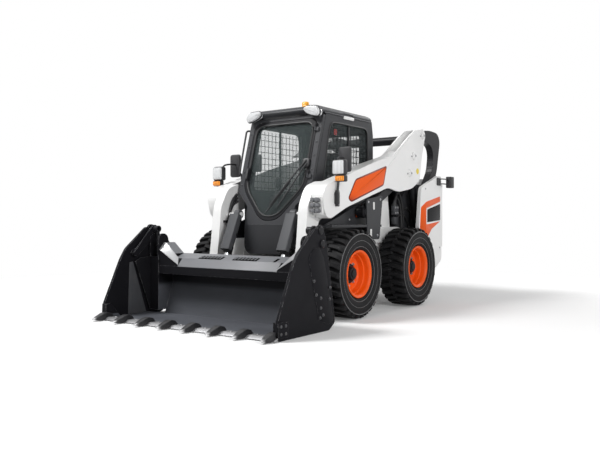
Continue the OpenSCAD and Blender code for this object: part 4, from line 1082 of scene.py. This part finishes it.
# Step slots as flat black sheets: painted shade where the shelf is open; the grey rungs over them are painted light
# like the shelf.
piece("shelf_slots", "carrier", slot_painted_shade, join(*[sloped(56.0, 126.0, 2.2, a, b) for a, b in slots],
                                                 sloped(50.0, 128.0, 2.2, 0.505, 0.535)))
piece("shelf_rungs", "carrier", lit_shelf_and_coupler_grey, join(*[
    sloped(52.0, 112.0, 8.0, y, y + 0.012) for a, b in slots for y in np.linspace(a + 0.02, b - 0.032, 7)]))

WING = [(1.272, 0.050), (1.460, 0.525), (1.400, 0.560), (1.262, 0.570)]
pair("end_wings", "carrier", bucket_paint, plate(WING, 0.977, 0.9945, 0.003))
LINER = [(1.300, 0.022), (1.530, 0.022), (1.512, 0.520), (1.470, 0.525)]
pair("side_liners", "clam", grey_paint, plate(LINER, 1.0005, 1.006, 0.001))
side_bolts = [(1.331, 0.429), (1.298, 0.314), (1.231, 0.283), (1.231, 0.201), (1.197, 0.140), (1.093, 0.360),
              (1.100, 0.264), (1.242, 0.120)]
BUCKET_OUT = 1.030
LAP = rounded([(1.407, 0.620), (1.254, 0.096), (1.100, 0.050), (1.040, 0.085), (1.180, 0.600),
               (1.250, 0.700), (1.330, 0.700)], 0.02)
pair("side_laps", "clam", bucket_paint, applied(LAP, BUCKET_OUT, 0.004, 0.0015))
pair("side_bolts", "clam", grey_paint, bolts([(x, BUCKET_OUT + 0.003, z) for x, z in side_bolts], 0.010, 0.011))
CUTTER = rounded([(1.806, 0.150), (1.680, 0.142), (1.690, 0.020), (1.812, 0.030)], 0.012)
pair("side_cutters", "clam", bucket_paint, applied(CUTTER, BUCKET_OUT, 0.010, 0.003))
pair("cutter_bolts", "clam", grey_paint,
     bolts([(x, BUCKET_OUT + 0.009, z) for x in (1.720, 1.780) for z in (0.055, 0.115)], 0.009, 0.008))
clam_pins = mm([(2100, 1030, 840), (2080, 1036, 730)])
pair("clam_pin_caps", "clam", black_paint, *[lathe(PIN_CAP, c, "y", 28) for c in clam_pins])

TIP_X, LIP_X = ahead(2830, 2680)


def tooth():
    """Hooked tooth: rounded-square rings along its length, with the top, the foot and the half width as curves."""
    t = np.linspace(0, 1, 26)
    x = LIP_X - 0.075 + t * (TIP_X - LIP_X + 0.075)
    top = np.interp(t, [0, 0.10, 0.33, 0.50, 0.75, 1.0], [0.034, 0.060, 0.074, 0.068, 0.046, 0.024])
    foot = np.interp(t, [0, 0.33, 0.36, 0.60, 0.85, 1.0], [0.020, 0.020, 0.010, 0.004, 0.008, 0.018])
    half = np.interp(t, [0, 0.25, 0.40, 0.60, 0.80, 1.0], [0.022, 0.026, 0.032, 0.030, 0.023, 0.010])
    a = np.arange(20) * TAU / 20
    y = half[:, None] * bow(np.cos(a), 0.20)
    z = (top + foot)[:, None] / 2 + (top - foot)[:, None] / 2 * bow(np.sin(a), 0.20)
    return capped(np.stack([np.broadcast_to(x[:, None], y.shape), y, z], -1))


tooth_rows = (np.arange(8) - 3.5) * (2 * BUCKET_OUT - 0.090) / 7
piece("teeth", "clam", tooth_metal, copies(tooth(), [(0, y, 0) for y in tooth_rows]), replaces=("cutting_edge",))
LIP = [(LIP_X - 0.090, 0.0195), (LIP_X - 0.002, 0.0195), (LIP_X - 0.001, 0.001), (LIP_X + 0.036, 0.005),
       (LIP_X + 0.040, 0.010), (LIP_X + 0.004, 0.030), (LIP_X - 0.080, 0.027)]
piece("lip", "clam", lip_steel, plate(LIP, -BUCKET_OUT + 0.001, BUCKET_OUT - 0.001, 0.0008))
piece("lip_bolts", "clam", bolt_steel, bolts(
    [(LIP_X - 0.050, y + dy, 0.026) for y in tooth_rows[:-1] for dy in (0.09, 0.19)], 0.012, 0.008, "z"))


# Stage, light and camera

FLOOR_REACH = 60.0


def stage_floor():
    """Pale floor: soft white that fades to plain white away from the machine, and keeps its shadow."""
    f = Finish("studio_floor", "white_paint")
    x, y, _ = f.axes()
    away = f.ease(x * x + y * y, 6.0, 36.0)
    seen = f.node("LightPath", out="Is Camera Ray")
    shiny = f.node("LightPath", out="Is Glossy Ray")
    clear = f.node("LightPath", out="Is Transmission Ray")
    look = (seen + shiny + clear).math("MINIMUM", seen + shiny + clear, 1.0)
    f.shade(Base_Color=(0.80, 0.80, 0.80, 1.0), Roughness=0.9, Specular_IOR_Level=0.0)
    white = f.node("Emission", sockets={"Color": (1, 1, 1, 1), "Strength": look * (0.09 + away * 0.91)})
    plain = f.node("Emission", sockets={"Color": (1, 1, 1, 1), "Strength": 1.0})
    lit = f.node("AddShader", sockets={0: Val(f, f.shader.outputs[0]), 1: white})
    both = f.node("MixShader", sockets={0: away * look, 1: lit, 2: plain})
    f.tree.links.new(both.socket, f.tree.nodes["Material Output"].inputs["Surface"])
    corners = rect(-FLOOR_REACH, -FLOOR_REACH, FLOOR_REACH, FLOOR_REACH)
    mesh = bpy.data.meshes.new("studio_floor")
    mesh.from_pydata(np.insert(corners, 2, 0.0, axis=1).tolist(), [], [(0, 1, 2, 3)])
    mesh.materials.append(f.material)
    floor = placed("studio_floor", mesh)
    floor.location.z = -0.001


def soft_light(name, place, aim, size, watts):
    """A round area lamp at a place, turned towards its aim."""
    lamp = bpy.data.lights.new(name, "AREA")
    lamp.shape, lamp.size, lamp.energy = "DISK", size, watts
    made = placed(name, lamp)
    made.location = place
    made.rotation_euler = looking(np.subtract(aim, place))


def looking(direction):
    """Euler angles that turn a lamp's or camera's own -Z along a direction, with its top upwards."""
    d = unit(np.asarray(direction, float))
    return (math.acos(-d[2]), 0.0, math.atan2(d[1], d[0]) - math.pi / 2)


def world_light():
    """Even sky: dim on diffuse rays, plain white where the camera, a reflection or a pane looks at it."""
    world = bpy.data.worlds.new("studio")
    world.use_nodes = True
    tree = world.node_tree
    path = tree.nodes.new("ShaderNodeLightPath")
    sky = tree.nodes["Background"]
    sky.inputs["Color"].default_value = (1.0, 1.0, 1.0, 1.0)
    sky.inputs["Strength"].default_value = 0.31
    seen = tree.nodes.new("ShaderNodeBackground")
    seen.inputs["Color"].default_value = (1.0, 1.0, 1.0, 1.0)
    mix = tree.nodes.new("ShaderNodeMixShader")
    first, second = tree.nodes.new("ShaderNodeMath"), tree.nodes.new("ShaderNodeMath")
    first.use_clamp = second.use_clamp = True
    for source, target in (
            (path.outputs["Is Camera Ray"], first.inputs[0]), (path.outputs["Is Glossy Ray"], first.inputs[1]),
            (first.outputs[0], second.inputs[0]), (path.outputs["Is Transmission Ray"], second.inputs[1]),
            (second.outputs[0], mix.inputs[0]), (sky.outputs[0], mix.inputs[1]), (seen.outputs[0], mix.inputs[2]),
            (mix.outputs[0], tree.nodes["World Output"].inputs["Surface"])):
        tree.links.new(source, target)
    bpy.context.scene.world = world


def photo_camera():
    """The camera fitted to the photograph's frame of 600 by 450."""
    lens_data = bpy.data.cameras.new("photo_camera")
    lens_data.lens, lens_data.sensor_width = 41.5, 36.0
    lens_data.shift_x, lens_data.shift_y = 0.00395, -0.0144
    made = placed("photo_camera", lens_data)
    made.location = (5.976, 4.228, 0.932)
    made.rotation_euler = looking((-0.8104, -0.5859, 0.0046))
    bpy.context.scene.camera = made


stage_floor()
world_light()
soft_light("key", (4.2, -3.5, 7.9), (0.3, 0.0, 0.9), 3.2, 760.0)
soft_light("fill", (3.2, 7.0, 3.5), (0.0, 0.3, 0.9), 4.0, 240.0)
soft_light("rim", (-6.5, 1.5, 5.0), (-0.5, 0.0, 1.2), 3.0, 120.0)
photo_camera()
bpy.context.scene.view_settings.view_transform = "Standard"
